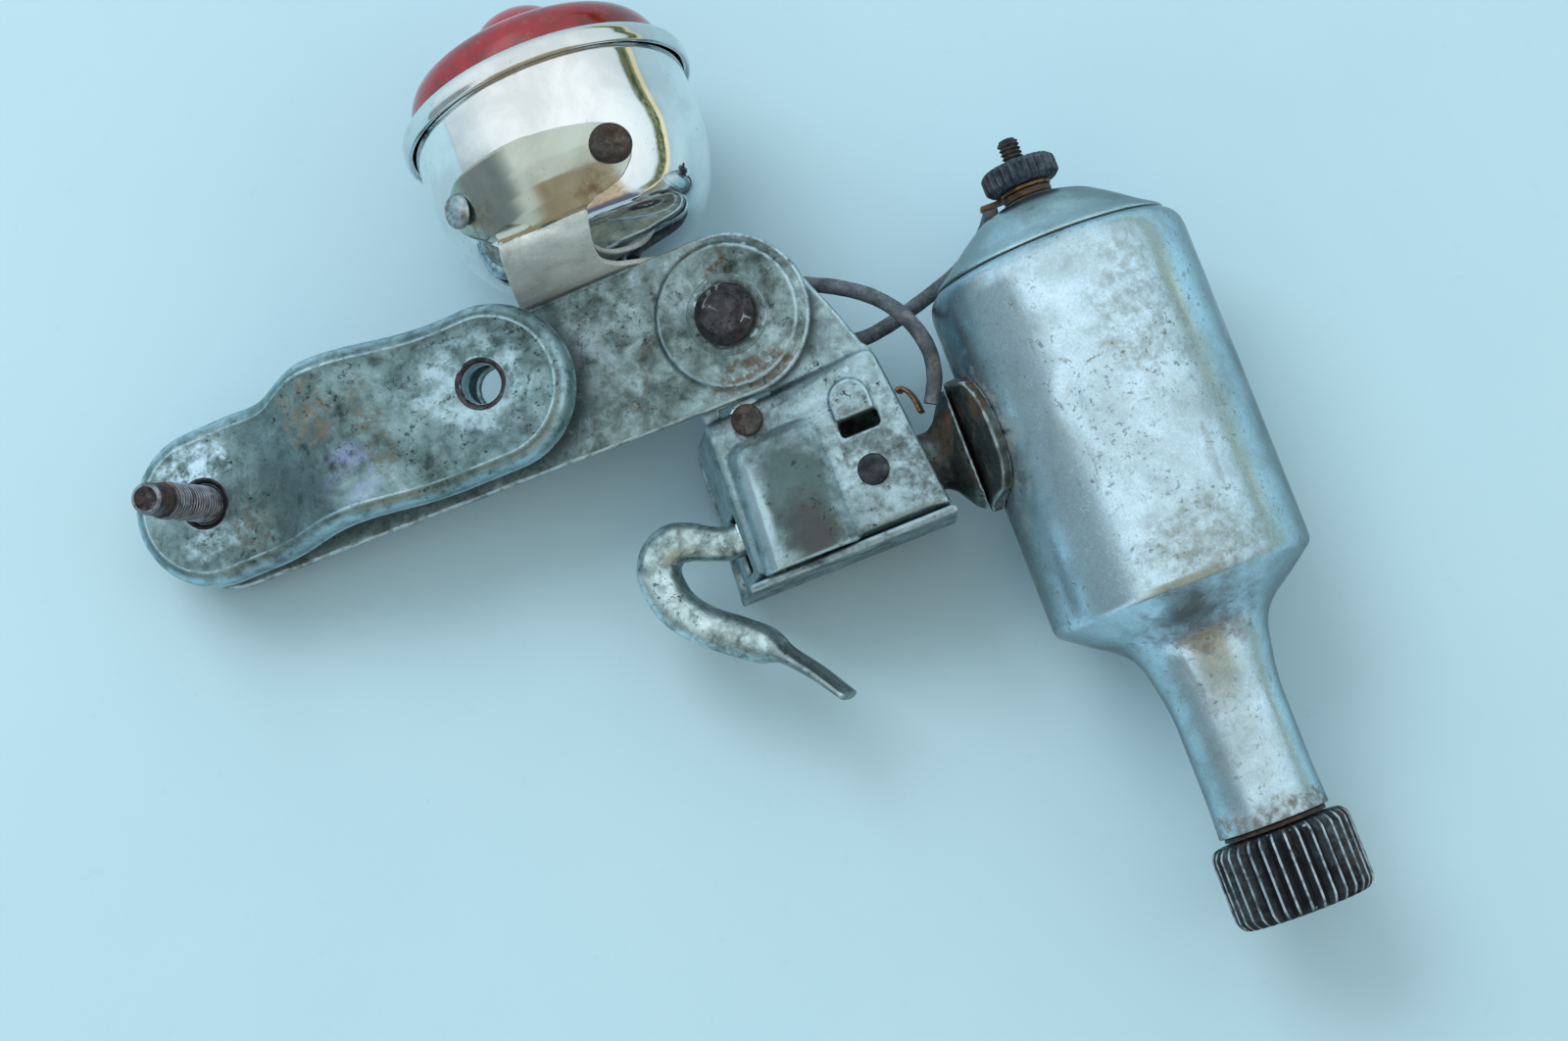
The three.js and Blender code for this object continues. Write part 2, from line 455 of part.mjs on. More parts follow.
// ================================================================ release lever
{
  const plate = sheet(
    [...arc(-3.26, -16.3, 3.5, -35, 200, 14), [-7.2, -20], [-8.6, -27.8], [-9.0, -30.0], [-11.5, -30.6], [-11.6, -33.4], [-8.2, -33.4], [-7.6, -29.4], [-4.9, -22.2], [-3.6, -19.6]],
    -5.5, -3.1, [circle(-3.26, -16.3, 1.85, 16)],
  );
  const z = -6.6;
  const path = [
    [-8.4, -31.9, z + 1.4], [-11.0, -32.7, z + 0.7], [-14.3, -32.6, z], [-17.4, -31.4, z], [-20.0, -30.1, z], [-22.9, -29.5, z], [-25.3, -30.7, z], [-26.6, -33.2, z], [-26.4, -36.7, z], [-25.2, -39.9, z], [-22.3, -43.5, z], [-18.2, -46.8, z], [-14.3, -49.9, z], [-12.9, -51.2, z], [-11.8, -52.4, z], [-8.2, -56.8, z], [-4.9, -61.8, z],
  ].map((p) => V(...p));
  const size = [[4.6, 3.6], [5.0, 5.0], [5.4, 5.4], [5.6, 5.6], [6.2, 6.2], [6.8, 6.8], [7.0, 7.0], [7.0, 7.4], [6.8, 8.2], [6.6, 8.8], [6.5, 9], [6.5, 9], [6.0, 9.4], [4.4, 10.4], [3.0, 11], [2.2, 12], [1.8, 11.6]];
  put("release_lever", join(plate, swept(path, size, W, 14, 0.85)), "bright", BR);
}
// ================================================================ earth lug on the housing's side
{
  const p = [[19.8, -20.4], [20.6, -20.3], [21.4, -21.2], [21.9, -22.8], [22.1, -24.8]].map(([u, v]) => V(u, v, -5.9));
  put("earth_lug", join(swept(p, p.map((_, i) => [0.8, 5 - i * 0.35]), W, 8, 0.5)), "copper", BR);
}
// ================================================================ yoke and saddle
const spx = SP[0] * cos(TILT) - SP[1] * sin(TILT), spz = PZ + SP[0] * sin(TILT) + SP[1] * cos(TILT);
const YV = -32.1; // middle of the yoke
{
  const yokeDir = V(DX - spx, 0, DR - spz), L = yokeDir.length();
  yokeDir.normalize();
  const at = (d) => V(spx + yokeDir.x * d, YV, spz + yokeDir.z * d);
  const path = [3.6, 12, 19.6, 20.9, 21.9, 23.0, L - DR - 2.5].map(at);
  const size = [[9, 6], [9.4, 6], [9.7, 6], [11.6, 6.8], [14.8, 8.6], [18.2, 11], [20.2, 13]];
  const arm = swept(path, size, V(0, 0, 1), 16, 0.6);
  const knuckle = cut(rod(V(spx, YV - 4.8, spz), UP, 4.4, 9.6, 28), rod(V(spx, YV - 8, spz), UP, 2.75, 16, 24));
  const bore = rod(V(spx, YV - 8, spz), UP, 2.75, 16, 24);
  put("yoke", cut(join(arm, knuckle), bore), "zinc");
  // saddle: a dished plate lying on the cylinder
  const rows = [];
  for (let i = 0; i <= 10; i++) {
    const f = -1 + i / 5, half = 25 * (1 - abs(f) ** 3.2) ** 0.5 + 5, row = [];
    for (let j = 0; j <= 8; j++) {
      const a = (PI / 180) * (180 + (half * (j - 4)) / 4), r = DR + 0.25;
      row.push(V(DX + r * cos(a), YV + 11 * f, DR + r * sin(a)));
    }
    rows.push(row);
  }
  const a = slab(rows, 1.9), b = slab(rows.map((r) => [...r].reverse()), 1.9);
  put("saddle", a.boundingBox().min[0] < b.boundingBox().min[0] ? a : b, "zinc");
}
// ================================================================ generator
const neck = [[21.4, -64.2], [21.0, -65.2], [16.4, -68.6], [13.3, -70.6], [11.4, -72.5], [10.3, -74.8], [9.9, -77], [9.2, -80.5], [8.8, -84], [8.8, -98], [9.0, -103.6]];
{
  const inner = neck.map(([r, y]) => [r - 1.05, y + (y > -74 && y < -65 ? 0.7 : 0)]);
  inner[0][1] = -63.4;
  put("generator_body", turned([[19.4, -7.9], [20.4, -8.7], [21.1, -9.9], [21.4, -11.6], ...neck, ...inner.reverse(), [20.35, -11.9], [20.0, -10.4], [19.4, -9.5], [18.5, -8.7]], 40), "satin", DYN);
  put("generator_cap", turned([[3.2, 1.8], [4.5, 1.6], [9.2, 0.1], [16.4, -5.3], [18.5, -6.7], [19.2, -7.5], [18.25, -7.9], [18.2, -12], [17.3, -12], [17.3, -7.4], [15.9, -6.5], [8.9, -1.1], [4.2, 0.5], [3.2, 0.6]], 40), "satin", DYN);
  put("terminal_insulator", turned([[1.85, 3.0], [4.0, 3.0], [4.0, 1.9], [3.0, 1.9], [3.0, -0.6], [5.0, -0.6], [5.0, -2.0], [1.85, -2.0]], 18), "phenolic", DYN);
  const tagRing = turned([[1.9, 3.1], [4.2, 3.1], [4.2, 3.7], [1.9, 3.7]], 24);
  put("wire_tag", join(tagRing, cut(block(-7.4, -3.0, 3.1, 3.7, -4.6, -1.8), rod(V(0, 3, 0), UP, 3.0, 1, 16))), "copper", DYN);
  put("terminal_stud", join(turned([[0, -6], [1.7, -6], [1.7, 11.4], [1.3, 12.1], [0, 12.1]], 20), turned([[0, -4.4], [3.4, -4.4], [3.4, -2.2], [0, -2.2]], 6)), "rust", DYN);
  const knurl = (r, d, n, y0, y1) => {
    const o = [];
    for (let i = 0; i < n; i++) {
      const a = (2 * PI * i) / n, b = (2 * PI * (i + 0.5)) / n;
      o.push([r * cos(a), r * sin(a)], [(r - d) * cos(b), (r - d) * sin(b)]);
    }
    const g = geometryOf(sheet(o, y0, y1));
    g.applyMatrix4(new THREE.Matrix4().makeRotationX(-PI / 2)); // z up to y up
    return solid(g);
  };
  const nut = knurl(6.1, 0.5, 28, 3.8, 7.9).intersect(turned([[0, 3.7], [5.3, 3.7], [6.1, 4.4], [6.1, 7.3], [5.4, 8], [0, 8]], 24));
  put("terminal_nut", cut(nut, turned([[0, 3], [1.9, 3], [1.9, 9], [0, 9]], 20)), "dark", DYN);
  // roller: axial grooves on a short drum
  const teeth = [], N = 34;
  for (let i = 0; i < N; i++) {
    const a = (2 * PI * i) / N, s = (2 * PI) / N;
    for (const [f, r] of [[0, 11.35], [0.18, 11.35], [0.59, 10.5]]) teeth.push([r * cos(a + f * s), r * sin(a + f * s)]);
  }
  const drum = solid(geometryOf(sheet(teeth, -118.2, -104.7)).applyMatrix4(new THREE.Matrix4().makeRotationX(-PI / 2)));
  const shape = turned([[0, -118.2], [10.3, -118.2], [11.37, -116.9], [11.37, -105.9], [10.5, -104.7], [0, -104.7]], 30);
  put("friction_roller", cut(drum.intersect(shape), turned([[0, -119], [6.4, -119], [6.4, -115.0], [2.1, -115.0], [2.1, -103], [0, -103]], 28)), "dark", DYN);
  put("roller_nut", cut(turned([[0, -117.6], [4.2, -117.6], [4.2, -115.1], [0, -115.1]], 6), turned([[0, -119], [2.1, -119], [2.1, -114], [0, -114]], 20)), "rust", DYN);
  put("rotor_shaft", turned([[0, -118.6], [1.6, -118.6], [2.0, -118.2], [2.0, -13.6], [0, -13.6]], 24), "bright", DYN);
  put("magnet_rotor", turned([[2.1, -50], [9.2, -50], [9.4, -49.6], [9.4, -22.8], [9.2, -22.4], [2.1, -22.4]], 24), "dark", DYN);
  put("lower_bush", turned([[2.15, -103.2], [7.75, -103.2], [7.75, -92], [4, -90], [2.15, -90]], 20), "brass", DYN);
  put("upper_bush", turned([[2.15, -20.5], [5.2, -20.5], [5.2, -16.6], [19.8, -16.6], [19.8, -15.4], [4.6, -15.4], [4.6, -14.4], [2.15, -14.4]], 24), "brass", DYN);
  put("dust_washer", turned([[2.3, -104.4], [8.3, -104.4], [8.3, -103.8], [2.3, -103.8]], 24), "phenolic", DYN);
  put("stator_coil", turned([[12.6, -46.5], [19.2, -46.5], [19.2, -28.2], [12.6, -28.2]], 28), "copper", DYN);
  const claws = (y0, y1, turn) => {
    let s = null;
    for (let i = 0; i < 4; i++) {
      const a = turn + (i * PI) / 2;
      const g = new THREE.BoxGeometry(2.0, y1 - y0, 6.0).translate(11.1, (y0 + y1) / 2, 0).rotateY(a);
      s = s ? s.add(solid(g)) : solid(g);
    }
    return s;
  };
  put("pole_lower", join(turned([[10.1, -48.4], [20.1, -48.4], [20.1, -46.9], [10.1, -46.9]], 24), claws(-47.6, -29.5, 0)), "zinc", DYN);
  put("pole_upper", join(turned([[10.1, -27.8], [20.1, -27.8], [20.1, -26.3], [10.1, -26.3]], 24), claws(-45.5, -27.0, PI / 4)), "zinc", DYN);
}
// ================================================================ leads
const EARTH = [[-10.4, 11.2, 15.2], [-9.2, 9.4, 14.8], [-4.5, 8.4, 13.9], [1.0, 8.2, 15.2], [5.7, 6.5, 18.2], [9.6, 3.4, 20.9], [13.3, 1.3, 22.8], [17.8, -1.4, 25.0], [22.6, -5.5, 27.3], [25.8, -10.3, 28.3], [27.3, -16.0, 28.5], [26.6, -20.6, 28.1], [24.7, -24.2, 27.6]];
const LIVE_LAMP = [[-13.3, 11.2, 15.1], [-12.8, 8.6, 13.4], [-9, 5.4, 11.0], [-3, 2.4, 9.9], [5.0, -1.5, 11.4], [11.4, -5.6, 14.6], [14.6, -7.6, 16.0]];
const LIVE_GEN = [[14.9, -7.8, 16.1], [18.9, -9.2, 17.0], [23.6, -8.6, 16.2], [28.0, -7.2, 14.4], [33.0, -5.4, 11.8], [37.6, -3.4, 8.6], [41.6, -1.2, 6.8], [44.6, 1.2, 7.6], [46.0, 2.8, 11.0], [46.2, 3.3, 14.6]];
put("lead_earth", wire(EARTH.map((p) => V(...p)), 1.25, 8, 34), "rubber");
put("lead_live_lamp", wire(LIVE_LAMP.map((p) => V(...p)), 1.25, 8, 18), "rubber");
put("lead_live_generator", wire(LIVE_GEN.map((p) => V(...p)), 1.25, 8, 26), "rubber");

// ---------------------------------------------------------------- frame: middle of the box at the origin, base on z = 0
{
  const box = new THREE.Box3();
  for (const m of made.values()) {
    m.geometry.computeBoundingBox();
    box.union(m.geometry.boundingBox);
  }
  const c = box.getCenter(V(0, 0, 0));
  for (const m of made.values()) m.geometry.translate(-c.x, -c.y, -box.min.z);
  root.userData.shift = [c.x, c.y, box.min.z];
}
export default root;
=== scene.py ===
# Looks of a bicycle bottle generator set with a tail lamp, lying on its back on a pale table.
import math

import bpy
import bmesh
import numpy as np
from mathutils import Matrix, Vector, noise


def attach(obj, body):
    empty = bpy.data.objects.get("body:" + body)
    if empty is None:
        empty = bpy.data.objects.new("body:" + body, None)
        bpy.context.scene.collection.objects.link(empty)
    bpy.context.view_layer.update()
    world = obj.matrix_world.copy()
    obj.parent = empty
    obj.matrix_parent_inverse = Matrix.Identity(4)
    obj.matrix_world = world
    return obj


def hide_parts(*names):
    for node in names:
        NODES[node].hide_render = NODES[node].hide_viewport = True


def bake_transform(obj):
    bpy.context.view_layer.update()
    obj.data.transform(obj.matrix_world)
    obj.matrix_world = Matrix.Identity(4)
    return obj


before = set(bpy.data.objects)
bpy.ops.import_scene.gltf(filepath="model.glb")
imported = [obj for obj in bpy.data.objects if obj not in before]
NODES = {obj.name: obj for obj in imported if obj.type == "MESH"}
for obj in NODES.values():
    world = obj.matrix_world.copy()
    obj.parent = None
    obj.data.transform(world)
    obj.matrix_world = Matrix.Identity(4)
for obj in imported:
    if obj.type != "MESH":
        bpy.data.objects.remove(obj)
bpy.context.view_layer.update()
MM = 0.001
SHIFT = np.array([-13.407474517822266, -29.593435287475586, 0.0])
TILT = math.radians(13)
CT, ST = math.cos(TILT), math.sin(TILT)
PZ = 27.5
DX, DR = 51.7, 21.4
DIP = math.radians(8.4)
pi = math.pi


def unit(a):
    a = np.array(a, float)
    return a / np.linalg.norm(a)


LA = unit([-0.0122 * math.cos(DIP), 0.9999 * math.cos(DIP), -math.sin(DIP)])
LC = np.array([-15.2, 42.3, 23.8])
LX = unit(np.cross(LA, [0, 0, 1]))
LZ = np.cross(LX, LA)


def row(p):
    """Design millimetres to metres of the row frame; p is (..., 3)."""
    return (np.asarray(p, float) - SHIFT) * MM


def br(p):
    """Bracket u, v, w to design millimetres."""
    p = np.asarray(p, float)
    u, v, w = p[..., 0], p[..., 1], p[..., 2]
    return np.stack([u * CT - w * ST, v, PZ + u * ST + w * CT], -1)


def lamp(p):
    p = np.asarray(p, float)
    return LC + p[..., 0:1] * LX + p[..., 1:2] * LA + p[..., 2:3] * LZ


def dyn(p):
    return np.asarray(p, float) + np.array([DX, 0, DR])


def same(p):
    return np.asarray(p, float)


COL = bpy.context.scene.collection


def mesh_object(name, verts, faces, material, sharp=40, smooth=True):
    me = bpy.data.meshes.new(name)
    me.from_pydata([tuple(v) for v in verts], [], faces)
    me.validate()
    me.update()
    bm = bmesh.new()
    bm.from_mesh(me)
    bmesh.ops.remove_doubles(bm, verts=bm.verts, dist=2e-7)
    bmesh.ops.recalc_face_normals(bm, faces=bm.faces)
    bm.to_mesh(me)
    bm.free()
    if smooth:
        me.polygons.foreach_set("use_smooth", [True] * len(me.polygons))
        me.set_sharp_from_angle(angle=math.radians(sharp))
    o = bpy.data.objects.new(name, me)
    COL.objects.link(o)
    if material is not None:
        me.materials.append(material)
    return o


def fillet(points, r, n=5):
    """Rounds the corners of an open or closed r, y profile. points hold an optional third value, that corner's radius."""
    out = []
    m = len(points)
    for i, p in enumerate(points):
        rad = p[2] if len(p) > 2 else r
        if i == 0 or i == m - 1 or rad <= 0:
            out.append((p[0], p[1]))
            continue
        a, b, c = (np.array(points[k][:2], float) for k in (i - 1, i, i + 1))
        d1, d2 = a - b, c - b
        l1, l2 = np.linalg.norm(d1), np.linalg.norm(d2)
        if l1 < 1e-6 or l2 < 1e-6:
            out.append((p[0], p[1]))
            continue
        t = min(rad, l1 * 0.45, l2 * 0.45)
        s, e = b + d1 / l1 * t, b + d2 / l2 * t
        for k in range(n + 1):
            f = k / n
            q = (1 - f) ** 2 * s + 2 * f * (1 - f) * b + f * f * e
            out.append((q[0], q[1]))
    return out


def lathe(name, profile, frame_of, material, n=128, r=0.4, loop=False, sharp=50, warp=None):
    """Turned piece about the Y axis of a frame. The profile runs from axis to axis, or closes on itself."""
    pts = fillet(profile + ([profile[0]] if loop else []), r)
    if loop:
        pts = pts[:-1]
    ang = np.linspace(0, 2 * pi, n, endpoint=False)
    verts, index = [], []
    for rr, y in pts:
        if rr < 1e-5:
            index.append([len(verts)] * n)
            verts.append((0, y, 0))
        else:
            index.append(list(range(len(verts), len(verts) + n)))
            for a in ang:
                q = rr
                if warp:
                    q = rr + warp(rr, y, a)
                verts.append((q * math.cos(a), y, q * math.sin(a)))
    faces = []
    m = len(pts)
    for i in range(m if loop else m - 1):
        A, B = index[i], index[(i + 1) % m]
        for j in range(n):
            k = (j + 1) % n
            f = [A[j], A[k], B[k], B[j]]
            g = []
            for v in f:
                if v not in g:
                    g.append(v)
            if len(g) > 2:
                faces.append(g)
    return mesh_object(name, row(frame_of(np.array(verts))), faces, material, sharp)


def grid_faces(nr, nc, wrap_c=False, o=0):
    f = []
    for i in range(nr - 1):
        for j in range(nc if wrap_c else nc - 1):
            k = (j + 1) % nc
            f.append([o + i * nc + j, o + i * nc + k, o + (i + 1) * nc + k, o + (i + 1) * nc + j])
    return f


def loft(name, rings, frame_of, material, sharp=40, caps=True):
    rings = [np.asarray(r, float) for r in rings]
    n = len(rings[0])
    verts = np.concatenate(rings)
    faces = grid_faces(len(rings), n, True)
    if caps:
        faces.append(list(range(n)))
        faces.append(list(range((len(rings) - 1) * n, len(rings) * n)))
    return mesh_object(name, row(frame_of(verts)), faces, material, sharp)


def spline(points, count):
    """Centripetal Catmull-Rom through points, evenly resampled."""
    P = np.asarray(points, float)
    P = np.vstack([2 * P[0] - P[1], P, 2 * P[-1] - P[-2]])
    out = []
    for i in range(1, len(P) - 2):
        p0, p1, p2, p3 = P[i - 1 : i + 3]
        t0 = 0.0
        t1 = t0 + max(np.linalg.norm(p1 - p0) ** 0.5, 1e-6)
        t2 = t1 + max(np.linalg.norm(p2 - p1) ** 0.5, 1e-6)
        t3 = t2 + max(np.linalg.norm(p3 - p2) ** 0.5, 1e-6)
        for t in np.linspace(t1, t2, 24, endpoint=False):
            a1 = (t1 - t) / (t1 - t0) * p0 + (t - t0) / (t1 - t0) * p1
            a2 = (t2 - t) / (t2 - t1) * p1 + (t - t1) / (t2 - t1) * p2
            a3 = (t3 - t) / (t3 - t2) * p2 + (t - t2) / (t3 - t2) * p3
            b1 = (t2 - t) / (t2 - t0) * a1 + (t - t0) / (t2 - t0) * a2
            b2 = (t3 - t) / (t3 - t1) * a2 + (t - t1) / (t3 - t1) * a3
            out.append((t2 - t) / (t2 - t1) * b1 + (t - t1) / (t2 - t1) * b2)
    out.append(P[-2])
    out = np.array(out)
    d = np.concatenate([[0], np.cumsum(np.linalg.norm(np.diff(out[:, :3], axis=0), axis=1))])
    s = np.linspace(0, d[-1], count)
    return np.stack([np.interp(s, d, out[:, k]) for k in range(out.shape[1])], 1), d[-1]


def sweep(name, path, sizes, side, frame_of, material, n=28, power=1.0, sharp=45, ends=2):
    path = np.asarray(path, float)
    side = np.asarray(side, float)
    rings = []
    m = len(path)
    for i in range(m):
        t = unit(path[min(i + 1, m - 1)] - path[max(i - 1, 0)])
        b = unit(side - t * side.dot(t))
        a = np.cross(b, t)
        wa, wb = sizes[i]
        k = (np.arange(n) + 0.5) / n * 2 * pi
        c, s = np.cos(k), np.sin(k)
        c = np.sign(c) * np.abs(c) ** power
        s = np.sign(s) * np.abs(s) ** power
        rings.append(path[i] + np.outer(c * wa / 2, a) + np.outer(s * wb / 2, b))
    for at, nxt in ((0, 1), (-1, -2)):
        # rounded end
        centre = path[at]
        d = unit(path[at] - path[nxt])
        r0 = rings[at]
        extra = []
        rad = min(sizes[at]) * 0.18
        for f in (0.5, 0.85, 1.0)[:ends + 1]:
            grow = d * rad * math.sin(f * pi / 2)
            shrink = 1 - (1 - math.cos(f * pi / 2)) * 0.36
            extra.append(centre + (r0 - centre) * shrink + grow)
        if at == 0:
            rings = extra[::-1] + rings
        else:
            rings = rings + extra
    return loft(name, rings, frame_of, material, sharp)


def take(node, name, material, voxel=None, smooth=0, sharp=40, bevel=0.0):
    """A finer copy of a CAD node: remeshed and softened like a pressed or forged piece."""
    me = NODES[node].data.copy()
    me.name = name
    me.materials.clear()
    o = bpy.data.objects.new(name, me)
    COL.objects.link(o)
    bm = bmesh.new()
    bm.from_mesh(me)
    bmesh.ops.remove_doubles(bm, verts=bm.verts, dist=2e-7)
    bm.to_mesh(me)
    bm.free()
    if voxel:
        m = o.modifiers.new("remesh", "REMESH")
        m.mode = "VOXEL"
        m.voxel_size = voxel * MM
        m.use_smooth_shade = True
    if bevel:
        m = o.modifiers.new("bevel", "BEVEL")
        m.width = bevel * MM
        m.segments = 3
        m.limit_method = "ANGLE"
        m.angle_limit = math.radians(35)
    if smooth:
        m = o.modifiers.new("smooth", "SMOOTH")
        m.factor = 0.5
        m.iterations = smooth
    dg = bpy.context.evaluated_depsgraph_get()
    new = bpy.data.meshes.new_from_object(o.evaluated_get(dg))
    o.modifiers.clear()
    o.data = new
    new.name = name
    new.polygons.foreach_set("use_smooth", [True] * len(new.polygons))
    if not voxel:
        new.set_sharp_from_angle(angle=math.radians(sharp))
    new.materials.clear()
    new.materials.append(material)
    return o


def deform(o, fn):
    """Moves every vertex by fn of its place, in metres."""
    me = o.data
    co = np.empty(len(me.vertices) * 3)
    me.vertices.foreach_get("co", co)
    co = co.reshape(-1, 3)
    me.vertices.foreach_set("co", fn(co).ravel())
    me.update()
    return o


# ---------------------------------------------------------------- materials
def lin(r, g, b):
    def f(c):
        c /= 255
        return c / 12.92 if c <= 0.04045 else ((c + 0.055) / 1.055) ** 2.4

    return (f(r), f(g), f(b), 1.0)


class Mat:
    """A small hand for building a node material. Coordinates are the row frame's, in metres."""

    def __init__(self, name):
        self.m = bpy.data.materials.new(name)
        self.m.use_nodes = True
        self.nt = self.m.node_tree
        self.b = self.nt.nodes["Principled BSDF"]
        tc = self.nt.nodes.new("ShaderNodeTexCoord")
        self.co = tc.outputs["Object"]
        self.geo = None

    def new(self, kind):
        return self.nt.nodes.new(kind)

    def link(self, a, b):
        self.nt.links.new(a, b)

    def put(self, socket, value):
        if hasattr(value, "is_output"):
            self.link(value, socket)
        else:
            socket.default_value = value

    def shift(self, scale=(1, 1, 1), loc=(0, 0, 0), rot=(0, 0, 0), co=None):
        n = self.new("ShaderNodeMapping")
        self.link(co or self.co, n.inputs["Vector"])
        n.inputs["Scale"].default_value = scale
        n.inputs["Location"].default_value = loc
        n.inputs["Rotation"].default_value = rot
        return n.outputs[0]

    def noise(self, scale, detail=6.0, rough=0.55, distort=0.0, co=None, lac=2.0):
        n = self.new("ShaderNodeTexNoise")
        self.link(co or self.co, n.inputs["Vector"])
        n.inputs["Scale"].default_value = scale
        n.inputs["Detail"].default_value = detail
        n.inputs["Roughness"].default_value = rough
        n.inputs["Lacunarity"].default_value = lac
        n.inputs["Distortion"].default_value = distort
        return n.outputs["Fac"]

    def voronoi(self, scale, feature="F1", rand=1.0, co=None):
        n = self.new("ShaderNodeTexVoronoi")
        self.link(co or self.co, n.inputs["Vector"])
        n.feature = feature
        n.inputs["Scale"].default_value = scale
        n.inputs["Randomness"].default_value = rand
        return n.outputs["Distance"]

    def wave(self, scale, distort, detail=3.0, co=None, direction="X"):
        n = self.new("ShaderNodeTexWave")
        n.bands_direction = direction
        self.link(co or self.co, n.inputs["Vector"])
        n.inputs["Scale"].default_value = scale
        n.inputs["Distortion"].default_value = distort
        n.inputs["Detail"].default_value = detail
        return n.outputs["Fac"]

    def ramp(self, fac, stops, interp="LINEAR"):
        n = self.new("ShaderNodeValToRGB")
        self.link(fac, n.inputs["Fac"])
        cr = n.color_ramp
        cr.interpolation = interp
        while len(cr.elements) < len(stops):
            cr.elements.new(0.5)
        for e, (pos, col) in zip(cr.elements, stops):
            e.position = pos
            e.color = col if isinstance(col, tuple) else (col, col, col, 1)
        return n.outputs["Color"]

    def step(self, fac, lo, hi, a=0.0, b=1.0):
        n = self.new("ShaderNodeMapRange")
        n.interpolation_type = "SMOOTHSTEP"
        self.put(n.inputs["Value"], fac)
        n.inputs["From Min"].default_value = lo
        n.inputs["From Max"].default_value = hi
        n.inputs["To Min"].default_value = a
        n.inputs["To Max"].default_value = b
        return n.outputs["Result"]

    def math(self, op, a, b=0.0, clamp=False):
        n = self.new("ShaderNodeMath")
        n.operation = op
        n.use_clamp = clamp
        self.put(n.inputs[0], a)
        self.put(n.inputs[1], b)
        return n.outputs[0]

    def mix(self, fac, a, b, blend="MIX"):
        n = self.new("ShaderNodeMix")
        n.data_type = "RGBA"
        n.blend_type = blend
        n.clamp_factor = True
        self.put(n.inputs[0], fac)
        self.put(n.inputs[6], a)
        self.put(n.inputs[7], b)
        return n.outputs[2]

    def far(self, centre, axes=(1, 1, 1), wobble=0.0, wscale=300.0, co=None):
        """Distance, in metres, from a design point given in mm, each axis weighted, its edge made ragged."""
        c = row(centre)
        v = self.new("ShaderNodeVectorMath")
        v.operation = "SUBTRACT"
        self.link(co or self.co, v.inputs[0])
        v.inputs[1].default_value = tuple(c)
        s = self.new("ShaderNodeVectorMath")
        s.operation = "MULTIPLY"
        self.link(v.outputs[0], s.inputs[0])
        s.inputs[1].default_value = axes
        d = self.new("ShaderNodeVectorMath")
        d.operation = "LENGTH"
        self.link(s.outputs[0], d.inputs[0])
        out = d.outputs["Value"]
        if wobble:
            n = self.noise(wscale, 5, 0.6)
            out = self.math("ADD", out, self.math("MULTIPLY", self.math("SUBTRACT", n, 0.5), wobble))
        return out

    def spot(self, centre, radius, soft=0.5, axes=(1, 1, 1), wobble=0.6, wscale=300.0):
        d = self.far(centre, axes, wobble * radius * MM * 2, wscale)
        return self.step(d, radius * MM * (1 - soft), radius * MM, 1.0, 0.0)

    def point(self):
        if self.geo is None:
            self.geo = self.new("ShaderNodeNewGeometry").outputs["Pointiness"]
        return self.geo

    def bump(self, height, strength, distance, normal=None):
        n = self.new("ShaderNodeBump")
        n.inputs["Strength"].default_value = strength
        n.inputs["Distance"].default_value = distance
        self.link(height, n.inputs["Height"])
        if normal is not None:
            self.link(normal, n.inputs["Normal"])
        return n.outputs["Normal"]

    def done(self, color=None, rough=None, metal=None, normal=None, **fixed):
        names = {"ior": "IOR", "coat": "Coat Weight", "coat_rough": "Coat Roughness", "transmission": "Transmission Weight",
                 "spec": "Specular IOR Level", "sss": "Subsurface Weight", "sheen": "Sheen Weight"}
        for key, val in (("Base Color", color), ("Roughness", rough), ("Metallic", metal), ("Normal", normal)):
            if val is not None:
                self.put(self.b.inputs[key], val)
        for k, v in fixed.items():
            self.b.inputs[names[k]].default_value = v
        return self.m


